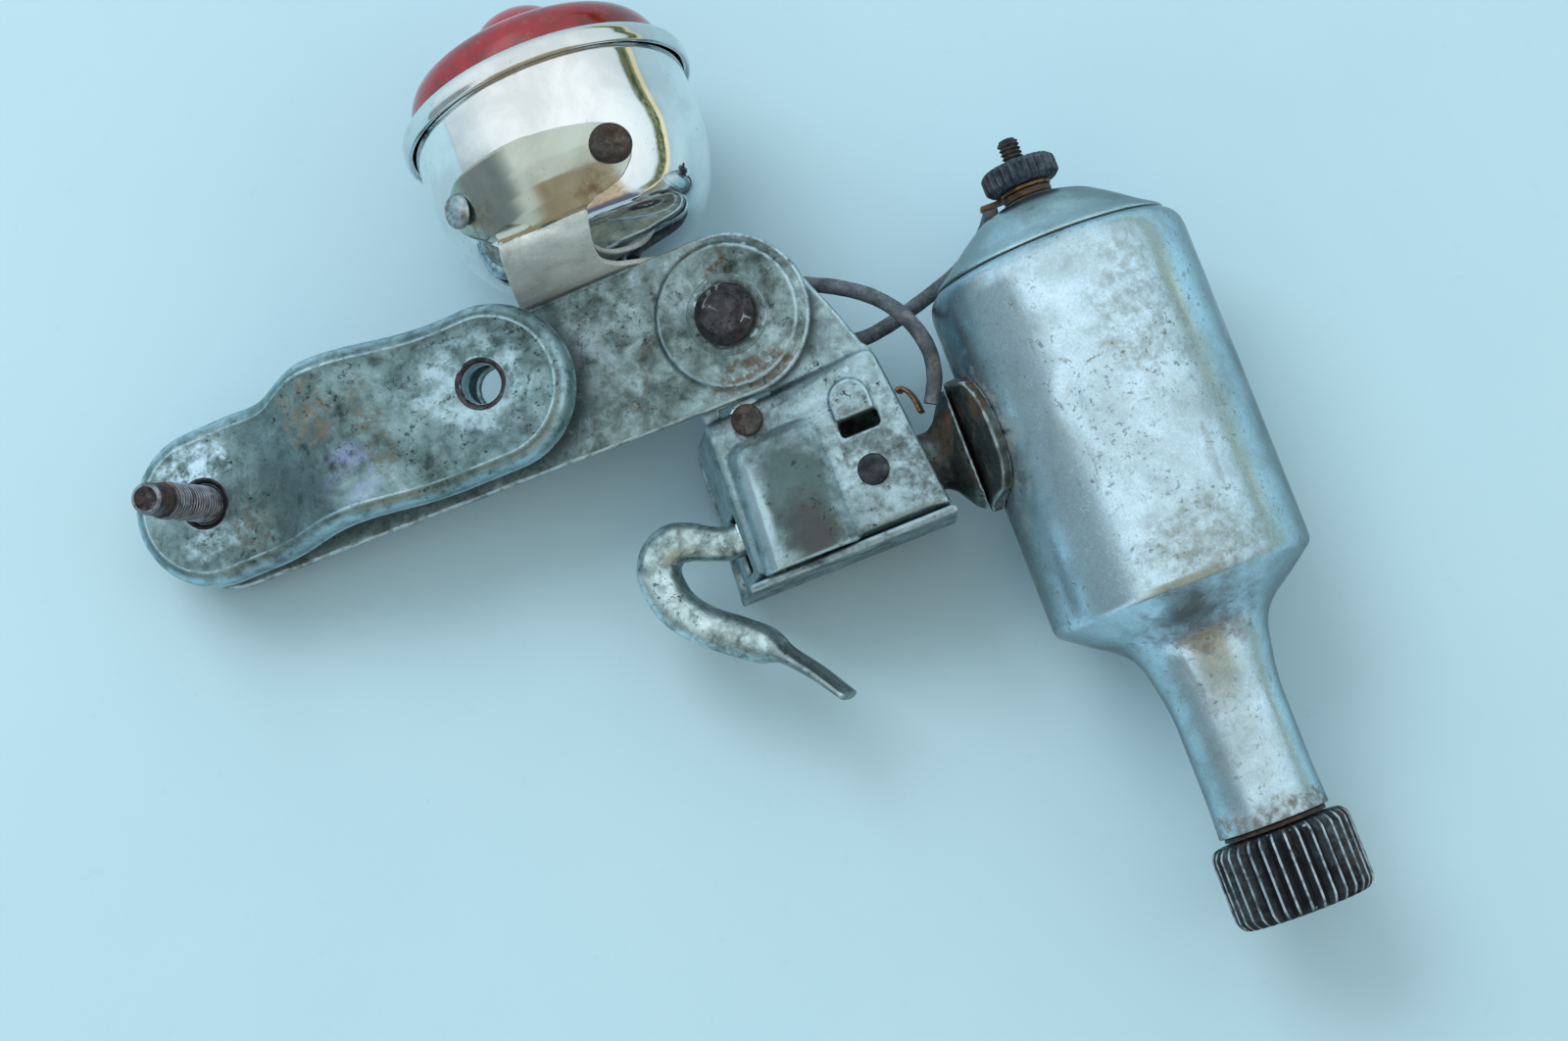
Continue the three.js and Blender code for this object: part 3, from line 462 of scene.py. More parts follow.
def worn(name, tones, size=1.0, fine=0.35, pits=(0.60, 0.9, (60, 62, 56)), rust=(0.66, (96, 62, 38)), rough=(0.38, 0.62),
         edge=None, dirt=None, spots=(), relief=1.0, metal=0.92, pit_scale=900, streak=None, pit_cluster=140, limb_painted_shade=None, tint=(0.90, 1.12, 1.38)):
    """Old plated or blank metal: two noise layers of tone, dark pits in clusters, rust, bright worn edges, dirt in
    hollows. Some of the spots are painted highlights and painted shadows, an optional facing mask paints shade towards
    the outline, and the tint multiplies the blue-green cast of the light into the colour.
    """
    m = Mat(name)
    big = m.noise(110 * size, 7, 0.62, 0.6)
    mid = m.noise(420 * size, 6, 0.65, 0.3)
    both = m.math("ADD", m.math("MULTIPLY", big, 1 - fine), m.math("MULTIPLY", mid, fine))
    n = len(tones)
    col = m.ramp(both, [(0.34 + 0.32 * i / max(n - 1, 1), lin(*t)) for i, t in enumerate(tones)])
    speck = m.noise(2300, 3, 0.6)
    col = m.mix(0.5, col, m.ramp(speck, [(0.3, 0.62), (0.7, 1.0)]), "MULTIPLY")
    rg = m.step(both, 0.36, 0.64, rough[1], rough[0])
    rust_all = None
    for s in spots:
        mask = m.spot(s["at"], s["r"], s.get("soft", 0.5), s.get("axes", (1, 1, 1)), s.get("wobble", 0.6), s.get("wscale", 300))
        if s.get("grain"):
            mask = m.math("MULTIPLY", mask, m.step(m.noise(s["grain"], 5, 0.65), 0.38, 0.62))
        mask = m.math("MULTIPLY", mask, s.get("k", 1.0))
        col = m.mix(mask, col, lin(*s["c"]))
        if "rough" in s:
            a = m.new("ShaderNodeMix")
            a.data_type = "FLOAT"
            m.put(a.inputs[0], mask)
            m.put(a.inputs[2], rg)
            a.inputs[3].default_value = s["rough"]
            rg = a.outputs[0]
        if s.get("rust"):
            rust_all = mask if rust_all is None else m.math("MAXIMUM", rust_all, mask)
    pit = m.math("MULTIPLY", m.step(m.noise(pit_scale, 6, 0.72), pits[0], pits[0] + 0.05), m.step(m.noise(pit_cluster, 4, 0.6), 0.44, 0.60, 0.12, 1.0))
    pit = m.math("MULTIPLY", pit, pits[1])
    col = m.mix(pit, col, lin(*pits[2]))
    height = m.math("SUBTRACT", m.math("MULTIPLY", speck, 0.12), pit)
    if streak:
        sc = m.noise(streak["scale"], 3, 0.5, co=m.shift(streak["stretch"], rot=streak.get("rot", (0, 0, 0))))
        sm = m.math("MULTIPLY", m.step(sc, streak.get("lo", 0.62), streak.get("lo", 0.62) + 0.03), m.step(m.noise(90, 3), 0.42, 0.58))
        sm = m.math("MULTIPLY", sm, streak.get("k", 0.6))
        col = m.mix(sm, col, lin(*streak["c"]))
        height = m.math("SUBTRACT", height, m.math("MULTIPLY", sm, 0.5))
    if rust:
        rm = m.math("MULTIPLY", m.step(m.noise(75 * size, 6, 0.7, 0.8), rust[0] - 0.06, rust[0] + 0.06), m.step(m.noise(1100, 4, 0.7), 0.40, 0.55, 0.35, 1.0))
        rust_all = rm if rust_all is None else m.math("MAXIMUM", rust_all, rm)
        col = m.mix(rm, col, m.ramp(m.noise(700, 4, 0.6), [(0.35, lin(*[int(c * 0.62) for c in rust[1]])), (0.65, lin(*rust[1]))]))
    if edge:
        em = m.math("MULTIPLY", m.step(m.point(), edge.get("lo", 0.515), edge.get("hi", 0.56)), m.step(m.noise(500, 5, 0.6), 0.36, 0.56, 0.25, 1.0))
        em = m.math("MULTIPLY", em, edge.get("k", 0.8))
        col = m.mix(em, col, lin(*edge["c"]))
    if dirt:
        dm = m.math("MULTIPLY", m.step(m.point(), dirt.get("lo", 0.49), dirt.get("hi", 0.44)), m.step(m.noise(300, 4, 0.6), 0.3, 0.6, 0.5, 1.0))
        dm = m.math("MULTIPLY", dm, dirt.get("k", 0.8))
        col = m.mix(dm, col, lin(*dirt["c"]))
        rust_all = m.math("MULTIPLY", dm, 0.6) if rust_all is None else m.math("MAXIMUM", rust_all, m.math("MULTIPLY", dm, 0.6))
    # painted shade: a darker colour mixed in where the surface turns away from the camera
    if limb_painted_shade:
        lw = m.new("ShaderNodeLayerWeight")
        lw.inputs["Blend"].default_value = 0.5
        col = m.mix(m.step(lw.outputs["Facing"], 0.42, 0.86, 0.0, limb_painted_shade[1]), col, lin(*limb_painted_shade[0]))
    # painted light colour: the blue-green cast of the light is multiplied into the base colour
    col = m.mix(1.0, col, (*tint, 1), "MULTIPLY")
    mt = metal
    if rust_all is not None:
        rg = m.math("ADD", rg, m.math("MULTIPLY", rust_all, 0.3), True)
        mt = m.math("SUBTRACT", metal, m.math("MULTIPLY", rust_all, metal * 0.85), True)
    nrm = m.bump(height, 0.55 * relief, 0.00012)
    nrm = m.bump(big, 0.25 * relief, 0.0006, nrm)
    return m.done(col, rg, mt, nrm)


# ---------------------------------------------------------------- camera
YAW, TAU = math.radians(20.7), math.radians(6.5)
cam_data = bpy.data.cameras.new("camera")
cam = bpy.data.objects.new("camera", cam_data)
COL.objects.link(cam)
right = Vector((math.cos(YAW), -math.sin(YAW), 0))
up = Vector((math.sin(YAW) * math.cos(TAU), math.cos(YAW) * math.cos(TAU), math.sin(TAU)))
back = right.cross(up)
cam.matrix_world = Matrix.Translation(Vector(row([-22.2, -83.3, 496.9]))) @ Matrix((right, up, back)).transposed().to_4x4()
cam_data.sensor_fit = "HORIZONTAL"
cam_data.sensor_width = 36
cam_data.lens = 36 * 3100.8 / 1600
cam_data.clip_start = 0.01
bpy.context.scene.camera = cam
bpy.context.scene.view_settings.view_transform = "Standard"

# ---------------------------------------------------------------- leads
m = Mat("lead_rubber_look")
n1 = m.noise(500, 6, 0.6, 0.4)
c = m.ramp(n1, [(0.3, lin(48, 55, 63)), (0.5, lin(72, 81, 90)), (0.72, lin(104, 113, 121))])
c = m.mix(m.step(m.noise(1700, 4, 0.7), 0.56, 0.66), c, lin(52, 52, 54))
c = m.mix(m.math("MULTIPLY", m.step(m.noise(160, 4), 0.56, 0.7), 0.5), c, lin(120, 112, 100))
RUBBER = m.done(c, m.step(n1, 0.3, 0.7, 0.62, 0.42), 0.0, m.bump(m.noise(1500, 5, 0.65), 0.35, 0.0001), spec=0.45)

EARTH = [[-10.4, 11.2, 15.2], [-9.2, 9.4, 14.8], [-4.5, 8.4, 13.9], [1.0, 8.2, 15.2], [5.7, 6.5, 18.2], [9.6, 3.4, 20.9], [13.3, 1.3, 22.8], [17.8, -1.4, 25.0], [22.6, -5.5, 27.3], [25.8, -10.3, 28.3], [27.3, -16.0, 28.5], [26.6, -20.6, 28.1], [24.7, -24.2, 27.6]]
LIVE_LAMP = [[-13.3, 11.2, 15.1], [-12.8, 8.6, 13.4], [-9, 5.4, 11.0], [-3, 2.4, 9.9], [5.0, -1.5, 11.4], [11.4, -5.6, 14.6], [14.6, -7.6, 16.0]]
LIVE_GEN = [[14.9, -7.8, 16.1], [18.9, -9.2, 17.0], [23.6, -8.6, 16.2], [28.0, -7.2, 14.4], [33.0, -5.4, 11.8], [37.6, -3.4, 8.6], [41.6, -1.2, 6.8], [44.6, 1.2, 7.6], [46.0, 2.8, 11.0], [46.2, 3.3, 14.6]]


def tube(name, points, r, material, n=20, step=0.35):
    count = int(spline(points, 50)[1] / step) + 2
    path, length = spline(points, count)
    t = np.gradient(path, axis=0)
    t /= np.linalg.norm(t, axis=1)[:, None]
    a = unit(np.cross(t[0], [0.3, 0.2, 0.93]))
    rings = []
    for i in range(count):
        a = unit(a - t[i] * a.dot(t[i]))
        b = np.cross(t[i], a)
        k = np.arange(n) / n * 2 * pi
        rr = r * (1 - 0.012 * math.sin(i * 0.37) - 0.008 * math.sin(i * 0.91))
        rings.append(path[i] + np.outer(np.cos(k) * rr, a) + np.outer(np.sin(k) * rr, b))
    first, last = rings[0], rings[-1]
    rings = [path[0] + (first - path[0]) * 0.86 - t[0] * 0.12] + rings + [path[-1] + (last - path[-1]) * 0.86 + t[-1] * 0.12]
    o = loft(name, rings, same, material, 45)
    return o, row(path), length * MM


CORDS = []
for name, pts, a, b, s, e, node in (
    ("earth_lead", EARTH, "arm", "housing", [12, 2.0, 22.2], [24.6, -8, 28.0], "lead_earth"),
    ("live_lead_lamp_run", LIVE_LAMP, "arm", "housing", [-6, 3.5, 10.2], [12, -6, 15], "lead_live_lamp"),
    ("live_lead_generator_run", LIVE_GEN, "housing", "generator", [18, -9, 17], [41.6, -1.2, 6.8], "lead_live_generator"),
):
    o, path, length = tube(name, pts, 1.25, RUBBER)
    tuple(row(s))
    tuple(row(e))
    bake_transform(o)
    tuple(path[0])
    [tuple(p) for p in path]
    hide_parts(node)
    CORDS.append(o)


# ---------------------------------------------------------------- finishes
dull = [(58, 62, 56), (96, 104, 96), (124, 133, 124), (150, 158, 148), (182, 188, 180)]
JAW_LOOK = worn(
    tint=(0.95, 1.26, 1.58), name="clamp_jaw_look", tones= [(62, 68, 62), (98, 107, 98), (122, 132, 122), (142, 150, 140), (168, 174, 164)], size=1.0, fine=0.42,
    pits=(0.57, 0.85, (48, 48, 44)), rust=(0.69, (92, 72, 50)), rough=(0.34, 0.56),
    edge={"c": (206, 214, 206), "k": 0.75, "lo": 0.508, "hi": 0.535}, dirt={"c": (60, 54, 44), "k": 0.75},
    spots=(
        # painted highlight: the two bright patches either side of the stud hole
        {"at": br([-88.5, 8.6, 10.6]), "r": 6.2, "axes": (0.75, 1.5, 1), "c": (214, 218, 212), "rough": 0.3, "k": 0.85, "grain": 420, "wobble": 0.9},
        {"at": br([-88.0, -3.2, 10.2]), "r": 4.6, "axes": (0.7, 1.4, 1), "c": (196, 198, 190), "rough": 0.3, "k": 0.7, "grain": 480, "wobble": 0.9},
        # painted light: brightens the flat right part of the jaw round the right hole
        {"at": br([-40.5, 3.6, 10.3]), "r": 10.5, "axes": (0.9, 1.15, 1), "c": (188, 194, 186), "rough": 0.32, "k": 0.75, "grain": 360, "wobble": 0.7},
        # painted highlight: a pale violet patch on the lower side of the hump
        {"at": br([-62.0, -2.5, 15]), "r": 6.5, "axes": (1, 1, 0.6), "c": (158, 152, 176), "rough": 0.28, "k": 0.6, "grain": 300, "wobble": 0.8},
        {"at": br([-66.0, 9.0, 14]), "r": 6.0, "axes": (1, 1, 0.6), "c": (112, 86, 58), "rough": 0.7, "k": 0.75, "grain": 420, "wobble": 0.9, "rust": True},
        {"at": br([-56.5, 2.0, 14]), "r": 3.6, "axes": (1, 0.35, 0.6), "c": (110, 92, 66), "rough": 0.7, "k": 0.55, "grain": 520, "wobble": 0.9, "rust": True},
        {"at": br([-81.0, -4.0, 10]), "r": 5.0, "axes": (1, 1, 0.6), "c": (84, 66, 46), "rough": 0.75, "k": 0.6, "grain": 620, "wobble": 0.9, "rust": True},
    ),
)
ARM_LOOK = worn(
    "clamp_arm_look", [(64, 68, 60), (98, 105, 95), (124, 132, 121), (150, 158, 147), (186, 193, 183)], 1.1, 0.4, pits=(0.57, 0.7, (50, 50, 44)), rust=(0.62, (104, 82, 56)), rough=(0.32, 0.58),
    edge={"c": (200, 206, 198), "k": 0.8, "lo": 0.507, "hi": 0.53}, dirt={"c": (58, 50, 40), "k": 0.8},
    spots=(
        {"at": br([-24.0, 3.0, 0.8]), "r": 7.0, "axes": (1, 0.7, 1), "c": (176, 180, 172), "rough": 0.34, "k": 0.6, "grain": 300, "wobble": 0.9},
        {"at": br([2.0, -10.0, 1.5]), "r": 6.0, "axes": (0.6, 1.6, 1), "c": (98, 70, 44), "rough": 0.75, "k": 0.8, "grain": 700, "wobble": 0.9, "rust": True},
        {"at": br([-6.5, 6.5, 1.5]), "r": 4.5, "c": (180, 184, 174), "rough": 0.35, "k": 0.55, "grain": 500, "wobble": 0.9},
        {"at": br([5.5, -4.5, 1.5]), "r": 3.5, "c": (176, 178, 168), "rough": 0.35, "k": 0.6, "grain": 500, "wobble": 0.9},
        # rust and painted shadow: the dark ring on the arm round the pivot head's base
        {"at": br([0.0, 0.0, 1.5]), "r": 6.4, "soft": 0.3, "c": (58, 50, 42), "rough": 0.75, "k": 0.7, "grain": 900, "wobble": 0.3, "rust": True},
    ),
)
HOUSING_LOOK = worn(
    tint=(0.64, 0.84, 0.98), name="hinge_housing_look", tones= [(112, 116, 110), (166, 172, 166), (196, 202, 196), (214, 218, 213), (232, 236, 230)], size=0.9, fine=0.42,
    pits=(0.585, 0.9, (56, 54, 48)), rust=(0.68, (104, 78, 52)), rough=(0.28, 0.52),
    edge={"c": (228, 232, 226), "k": 0.8, "lo": 0.508, "hi": 0.54}, dirt={"c": (56, 50, 42), "k": 0.8},
    spots=(
        {"at": br([0.4, -31.5, 1.2]), "r": 11.5, "axes": (1.35, 0.85, 0.6), "c": (92, 104, 97), "rough": 0.42, "k": 0.88, "wobble": 0.35, "soft": 0.45},
        {"at": br([0.6, -36.0, 1.2]), "r": 6.5, "axes": (1.1, 0.9, 0.6), "c": (84, 70, 66), "rough": 0.55, "k": 0.75, "wobble": 0.7, "soft": 0.7, "rust": True},
        {"at": br([-6.4, -30.0, 0.2]), "r": 8.0, "axes": (4.2, 0.85, 0.5), "c": (226, 230, 226), "rough": 0.26, "k": 0.75, "wobble": 0.35, "soft": 0.6},
        {"at": br([13.5, -26.5, -0.8]), "r": 9.0, "axes": (1, 0.8, 0.7), "c": (88, 86, 78), "rough": 0.6, "k": 0.6, "grain": 650, "wobble": 0.8},
        {"at": br([20.0, -33.0, -0.8]), "r": 6.0, "axes": (1.4, 0.7, 0.7), "c": (82, 78, 70), "rough": 0.6, "k": 0.6, "grain": 800, "wobble": 0.8},
        {"at": br([-3.26, -16.3, -0.4]), "r": 4.3, "soft": 0.3, "c": (96, 82, 66), "rough": 0.7, "k": 0.7, "grain": 900, "wobble": 0.4, "rust": True},
        {"at": br([14.5, -4.5, -2.6]), "r": 7.0, "axes": (1, 0.8, 0.7), "c": (126, 130, 122), "rough": 0.45, "k": 0.6, "grain": 420, "wobble": 0.8},
    ),
)
BACK_LOOK = worn("housing_back_look", dull, 1.0, 0.45, pits=(0.56, 0.8, (52, 50, 46)), rust=(0.62, (96, 74, 52)), rough=(0.38, 0.6),
                 edge={"c": (196, 200, 192), "k": 0.7, "lo": 0.508, "hi": 0.54}, dirt={"c": (54, 48, 40), "k": 0.8})
LEVER_LOOK = worn(
    tint=(1.0, 1.20, 1.32), name="release_lever_look", tones= [(82, 88, 84), (132, 140, 134), (174, 182, 176), (204, 210, 204), (226, 230, 224)], size=1.25, fine=0.5,
    pits=(0.575, 0.9, (54, 54, 50)), rust=(0.70, (92, 72, 54)), rough=(0.27, 0.52),
    edge={"c": (222, 226, 222), "k": 0.6, "lo": 0.52, "hi": 0.57}, dirt={"c": (52, 48, 42), "k": 0.7},
    spots=(
        {"at": [-9.0, -58.5, 19.0], "r": 11.0, "axes": (1, 1, 0.5), "c": (66, 72, 72), "rough": 0.45, "k": 0.7, "wobble": 0.7},
        {"at": [-23.5, -34.5, 16.0], "r": 5.0, "axes": (1, 1, 0.5), "c": (112, 118, 112), "rough": 0.4, "k": 0.6, "grain": 420, "wobble": 0.8},
    ),
)
YOKE_LOOK = worn("generator_yoke_look", [(48, 48, 42), (78, 80, 72), (104, 108, 98), (128, 132, 122)], 1.1, 0.45, pits=(0.55, 0.85, (40, 36, 30)),
                 rust=(0.56, (96, 66, 40)), rough=(0.42, 0.66), edge={"c": (190, 192, 180), "k": 0.7, "lo": 0.51, "hi": 0.54}, dirt={"c": (62, 44, 30), "k": 0.85})
ZINC_LOOK = worn("zinc_parts_look", dull, 1.3, 0.45, pits=(0.56, 0.8, (52, 50, 46)), rust=(0.66, (98, 76, 54)), rough=(0.36, 0.58))
BRIGHT_LOOK = worn("bright_parts_look", [(110, 114, 110), (164, 170, 166), (200, 204, 200), (222, 224, 220)], 1.3, 0.4, pits=(0.6, 0.8, (66, 62, 54)), rust=(0.70, (110, 82, 56)), rough=(0.24, 0.46))
RIVET_LOOK = worn("lamp_rivet_look", [(112, 112, 104), (158, 158, 148), (192, 190, 178), (214, 212, 200)], 2.2, 0.5, pits=(0.55, 0.85, (72, 62, 48)), rust=(0.60, (112, 86, 58)), rough=(0.3, 0.5),
                  dirt={"c": (70, 56, 42), "k": 0.8})
RUST_LOOK = worn("rusty_parts_look", [(40, 34, 31), (62, 53, 47), (86, 74, 65), (114, 102, 92)], 2.0, 0.5, pits=(0.54, 0.8, (34, 24, 20)), rust=(0.56, (86, 62, 46)), rough=(0.5, 0.78), metal=0.6, relief=1.6)
HEAD_LOOK = worn("pivot_head_look", [(38, 34, 34), (58, 52, 50), (78, 70, 66), (110, 100, 92)], 1.7, 0.5, pits=(0.57, 0.7, (30, 26, 24)), rust=(0.60, (84, 60, 44)), rough=(0.38, 0.62), metal=0.8,
                 edge={"c": (170, 164, 150), "k": 0.8, "lo": 0.512, "hi": 0.54})
STUD_LOOK = worn("clamp_stud_look", [(40, 34, 36), (62, 54, 54), (88, 78, 76), (122, 112, 108)], 1.8, 0.5, pits=(0.56, 0.7, (32, 26, 24)), rust=(0.56, (88, 60, 44)), rough=(0.36, 0.62), metal=0.85,
                 edge={"c": (176, 170, 164), "k": 0.75, "lo": 0.515, "hi": 0.55}, dirt={"c": (38, 28, 24), "k": 0.8})
ROLLER_LOOK = worn("friction_roller_look", [(30, 31, 32), (48, 50, 50), (66, 68, 67), (92, 94, 90)], 1.6, 0.5, pits=(0.57, 0.6, (24, 22, 22)), rust=(0.64, (84, 60, 44)), rough=(0.36, 0.6), metal=0.85,
                   edge={"c": (206, 206, 198), "k": 0.85, "lo": 0.515, "hi": 0.55}, dirt={"c": (20, 19, 19), "k": 0.9, "lo": 0.488, "hi": 0.46})
KNURL_LOOK = worn("terminal_nut_look", [(36, 40, 42), (52, 57, 60), (74, 79, 82), (98, 104, 106)], 2.4, 0.5, pits=(0.60, 0.5, (20, 16, 16)), rust=(0.70, (70, 50, 40)), rough=(0.42, 0.66), metal=0.6,
                  edge={"c": (110, 106, 100), "k": 0.6, "lo": 0.515, "hi": 0.56})
COPPER_LOOK = worn("copper_look", [(74, 50, 32), (120, 82, 52), (150, 106, 70), (176, 132, 94)], 2.0, 0.45, pits=(0.58, 0.7, (52, 38, 28)), rust=(0.66, (70, 76, 62)), rough=(0.34, 0.58))
BRASS_LOOK = worn("brass_look", [(92, 78, 44), (134, 116, 68), (166, 146, 92), (190, 172, 116)], 1.8, 0.4, pits=(0.62, 0.6, (66, 52, 32)), rust=None, rough=(0.28, 0.46))
DARK_LOOK = worn("dark_steel_look", [(30, 30, 32), (46, 46, 48), (62, 62, 62), (88, 86, 82)], 1.8, 0.45, pits=(0.6, 0.6, (24, 20, 18)), rust=(0.64, (78, 54, 40)), rough=(0.4, 0.62), metal=0.75)

# generator: polished metal gone satin, with grime caught in scratches and pits, and painted shade darkening the shell
# towards its outline
def satin(name, warm=0.0, spots=(), pits=0.565):
    t = [(178, 181, 175), (208, 211, 207), (226, 230, 228), (242, 246, 246)]
    t = [(min(255, int(r + 6 * warm)), int(g - 3 * warm), int(b - 12 * warm)) for r, g, b in t]
    return worn(
        name, t, 0.55, 0.3, pits=(pits + 0.012, 0.62, (96, 86, 70)), rust=(0.78, (120, 94, 68)), rough=(0.2, 0.38), pit_scale=980, pit_cluster=85,
        # painted shade: darker grey-green towards the shell's outline
        spots=spots, relief=0.7, metal=0.97, limb_painted_shade=((84, 98, 96), 0.86), tint=(0.76, 0.97, 1.12),
        streak={"scale": 260, "stretch": (1.0, 0.16, 1.0), "rot": (0, 0, 0.5), "lo": 0.66, "k": 0.28, "c": (120, 106, 88)},
    )


BODY_LOOK = satin(
    "generator_body_look", 0.0,
    (
        {"at": dyn([-20.6, -32.0, 2.0]), "r": 13.0, "axes": (1, 0.75, 1), "c": (110, 84, 58), "rough": 0.6, "k": 0.65, "grain": 500, "wobble": 0.8, "rust": True},
        # rust and painted shadow: the dark band round the neck's end, next to the roller
        {"at": dyn([0, -102.5, 5.0]), "r": 9.0, "axes": (0.4, 3.0, 0.4), "c": (96, 74, 54), "rough": 0.6, "k": 0.7, "grain": 700, "wobble": 0.5, "rust": True},
        {"at": dyn([-1.0, -70.5, 14.0]), "r": 11.0, "axes": (0.9, 1.3, 0.8), "c": (134, 114, 114), "rough": 0.36, "k": 0.65, "grain": 240, "wobble": 0.8},
        {"at": dyn([3.0, -60.0, 20.0]), "r": 9.0, "axes": (0.6, 1.2, 0.8), "c": (132, 126, 108), "rough": 0.45, "k": 0.5, "grain": 520, "wobble": 0.9},
        {"at": dyn([6.0, -24.0, 20.0]), "r": 11.0, "axes": (1.2, 0.7, 0.8), "c": (128, 122, 104), "rough": 0.45, "k": 0.45, "grain": 620, "wobble": 0.9},
    ),
)
CAP_LOOK = satin("generator_cap_look", 0.4, ({"at": dyn([0, 1.0, 0]), "r": 8.0, "c": (124, 100, 70), "rough": 0.55, "k": 0.6, "grain": 500, "wobble": 0.6, "rust": True},), 0.60)


def chrome(name, tint, rough, haze=0.5, spots=()):
    m = Mat(name)
    n = m.noise(60, 6, 0.6, 0.4)
    c = m.mix(m.step(n, 0.4, 0.66), lin(*tint), lin(*[int(x * 0.9) for x in tint]))
    p = m.math("MULTIPLY", m.step(m.noise(1300, 5, 0.7), 0.63, 0.68), m.step(m.noise(130, 4), 0.5, 0.62))
    c = m.mix(m.math("MULTIPLY", p, 0.7), c, lin(96, 84, 64))
    film = m.step(m.noise(45, 5, 0.6, 0.8), 0.46, 0.68, 0.0, haze * 0.16)
    rg = m.math("ADD", m.math("ADD", film, rough), m.math("MULTIPLY", p, 0.35), True)
    for s in spots:
        mask = m.spot(s["at"], s["r"], s.get("soft", 0.6), s.get("axes", (1, 1, 1)), s.get("wobble", 0.7))
        if s.get("grain"):
            mask = m.math("MULTIPLY", mask, m.step(m.noise(s["grain"], 5, 0.65), 0.38, 0.6))
        mask = m.math("MULTIPLY", mask, s.get("k", 0.7))
        c = m.mix(mask, c, lin(*s["c"]))
        rg = m.math("ADD", rg, m.math("MULTIPLY", mask, 0.3), True)
    nr = m.bump(m.noise(38, 3, 0.5), 0.12, 0.0012)
    nr = m.bump(m.math("SUBTRACT", m.noise(900, 4), p), 0.05, 0.0001, nr)
    return m.done(c, rg, 1.0, nr)


# painted sheen: the bracket's strip has a near-white, almost non-metallic colour standing in for the bright reflection
# of its metal
STRIP_LOOK = worn("lamp_strip_look", [(168, 174, 170), (202, 208, 204), (220, 225, 221), (236, 239, 235)], 0.9, 0.3, pits=(0.64, 0.6, (96, 88, 72)), rust=(0.76, (128, 106, 78)), rough=(0.24, 0.36), metal=0.05, relief=0.5, tint=(0.98, 1.06, 1.10))
CHROME = chrome("lamp_chrome_look", (238, 240, 240), 0.035)
RIM_CHROME = chrome("lamp_rim_look", (226, 230, 230), 0.07, 0.8)
NICKEL = chrome(
    "lamp_bracket_look", (188, 196, 186), 0.15, 1.0,
    (
        {"at": [-12.6, 22.6, 42.0], "r": 4.6, "c": (104, 76, 48), "grain": 420, "k": 0.75, "axes": (1, 1, 0.4)},
        {"at": [-30.5, 25.0, 40.0], "r": 3.4, "c": (132, 108, 74), "grain": 520, "k": 0.55, "axes": (1, 1, 0.4)},
        {"at": [-26.0, 34.0, 42.0], "r": 4.0, "c": (138, 116, 84), "grain": 520, "k": 0.5, "axes": (1, 1, 0.4)},
        {"at": [-22.0, 13.0, 26.0], "r": 4.6, "c": (150, 146, 132), "grain": 380, "k": 0.45, "axes": (0.8, 1.0, 1.0)},
    ),
)

m = Mat("red_lens_look")
n1 = m.noise(120, 5, 0.6, 0.4)
c = m.ramp(n1, [(0.32, lin(120, 8, 22)), (0.55, lin(176, 14, 34)), (0.75, lin(206, 34, 52))])
film = m.step(m.noise(380, 5, 0.65), 0.52, 0.72, 0.0, 0.5)
c = m.mix(film, c, lin(168, 84, 84))
dots = m.math("MULTIPLY", m.step(m.noise(1500, 4, 0.7), 0.64, 0.69), 0.6)
c = m.mix(dots, c, lin(70, 20, 22))
LENS = m.done(c, m.math("ADD", m.math("MULTIPLY", film, 0.35), 0.16), 0.0, m.bump(m.noise(420, 4, 0.6), 0.12, 0.0001), ior=1.49, transmission=0.42, coat=0.4, coat_rough=0.12, spec=0.55)
m = Mat("bulb_glass_look")
c = m.ramp(m.noise(300, 3), [(0.4, lin(236, 240, 236)), (0.7, lin(214, 218, 206))])
GLASS = m.done(c, m.step(m.noise(200, 3), 0.4, 0.7, 0.02, 0.12), 0.0, None, ior=1.5, transmission=0.95)
m = Mat("phenolic_look")
n1 = m.noise(700, 5, 0.6)
c = m.ramp(n1, [(0.35, lin(46, 32, 24)), (0.65, lin(78, 58, 42))])
PHENOLIC = m.done(c, m.step(n1, 0.3, 0.7, 0.7, 0.5), 0.0, m.bump(n1, 0.3, 0.0001))


def give(obj, body, slot, *nodes):
    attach(obj, body)
    if nodes:
        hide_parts(*nodes)
    return obj


# ---------------------------------------------------------------- clamp jaw
def bumpf(x, c, l, r):
    x = np.asarray(x, float)
    t = np.where(x < c, (c - x) / l, (x - c) / r)
    return np.where(t >= 1, 0, 0.5 + 0.5 * np.cos(pi * np.clip(t, 0, 1)))


JAW_W, HUMP = 10.3, 5.0
CL, CR = np.array([-88.1, 2.3]), np.array([-38.0, 2.6])


def jaw_top(u):
    return JAW_W + HUMP * bumpf(u, -63.4, 17, 17)


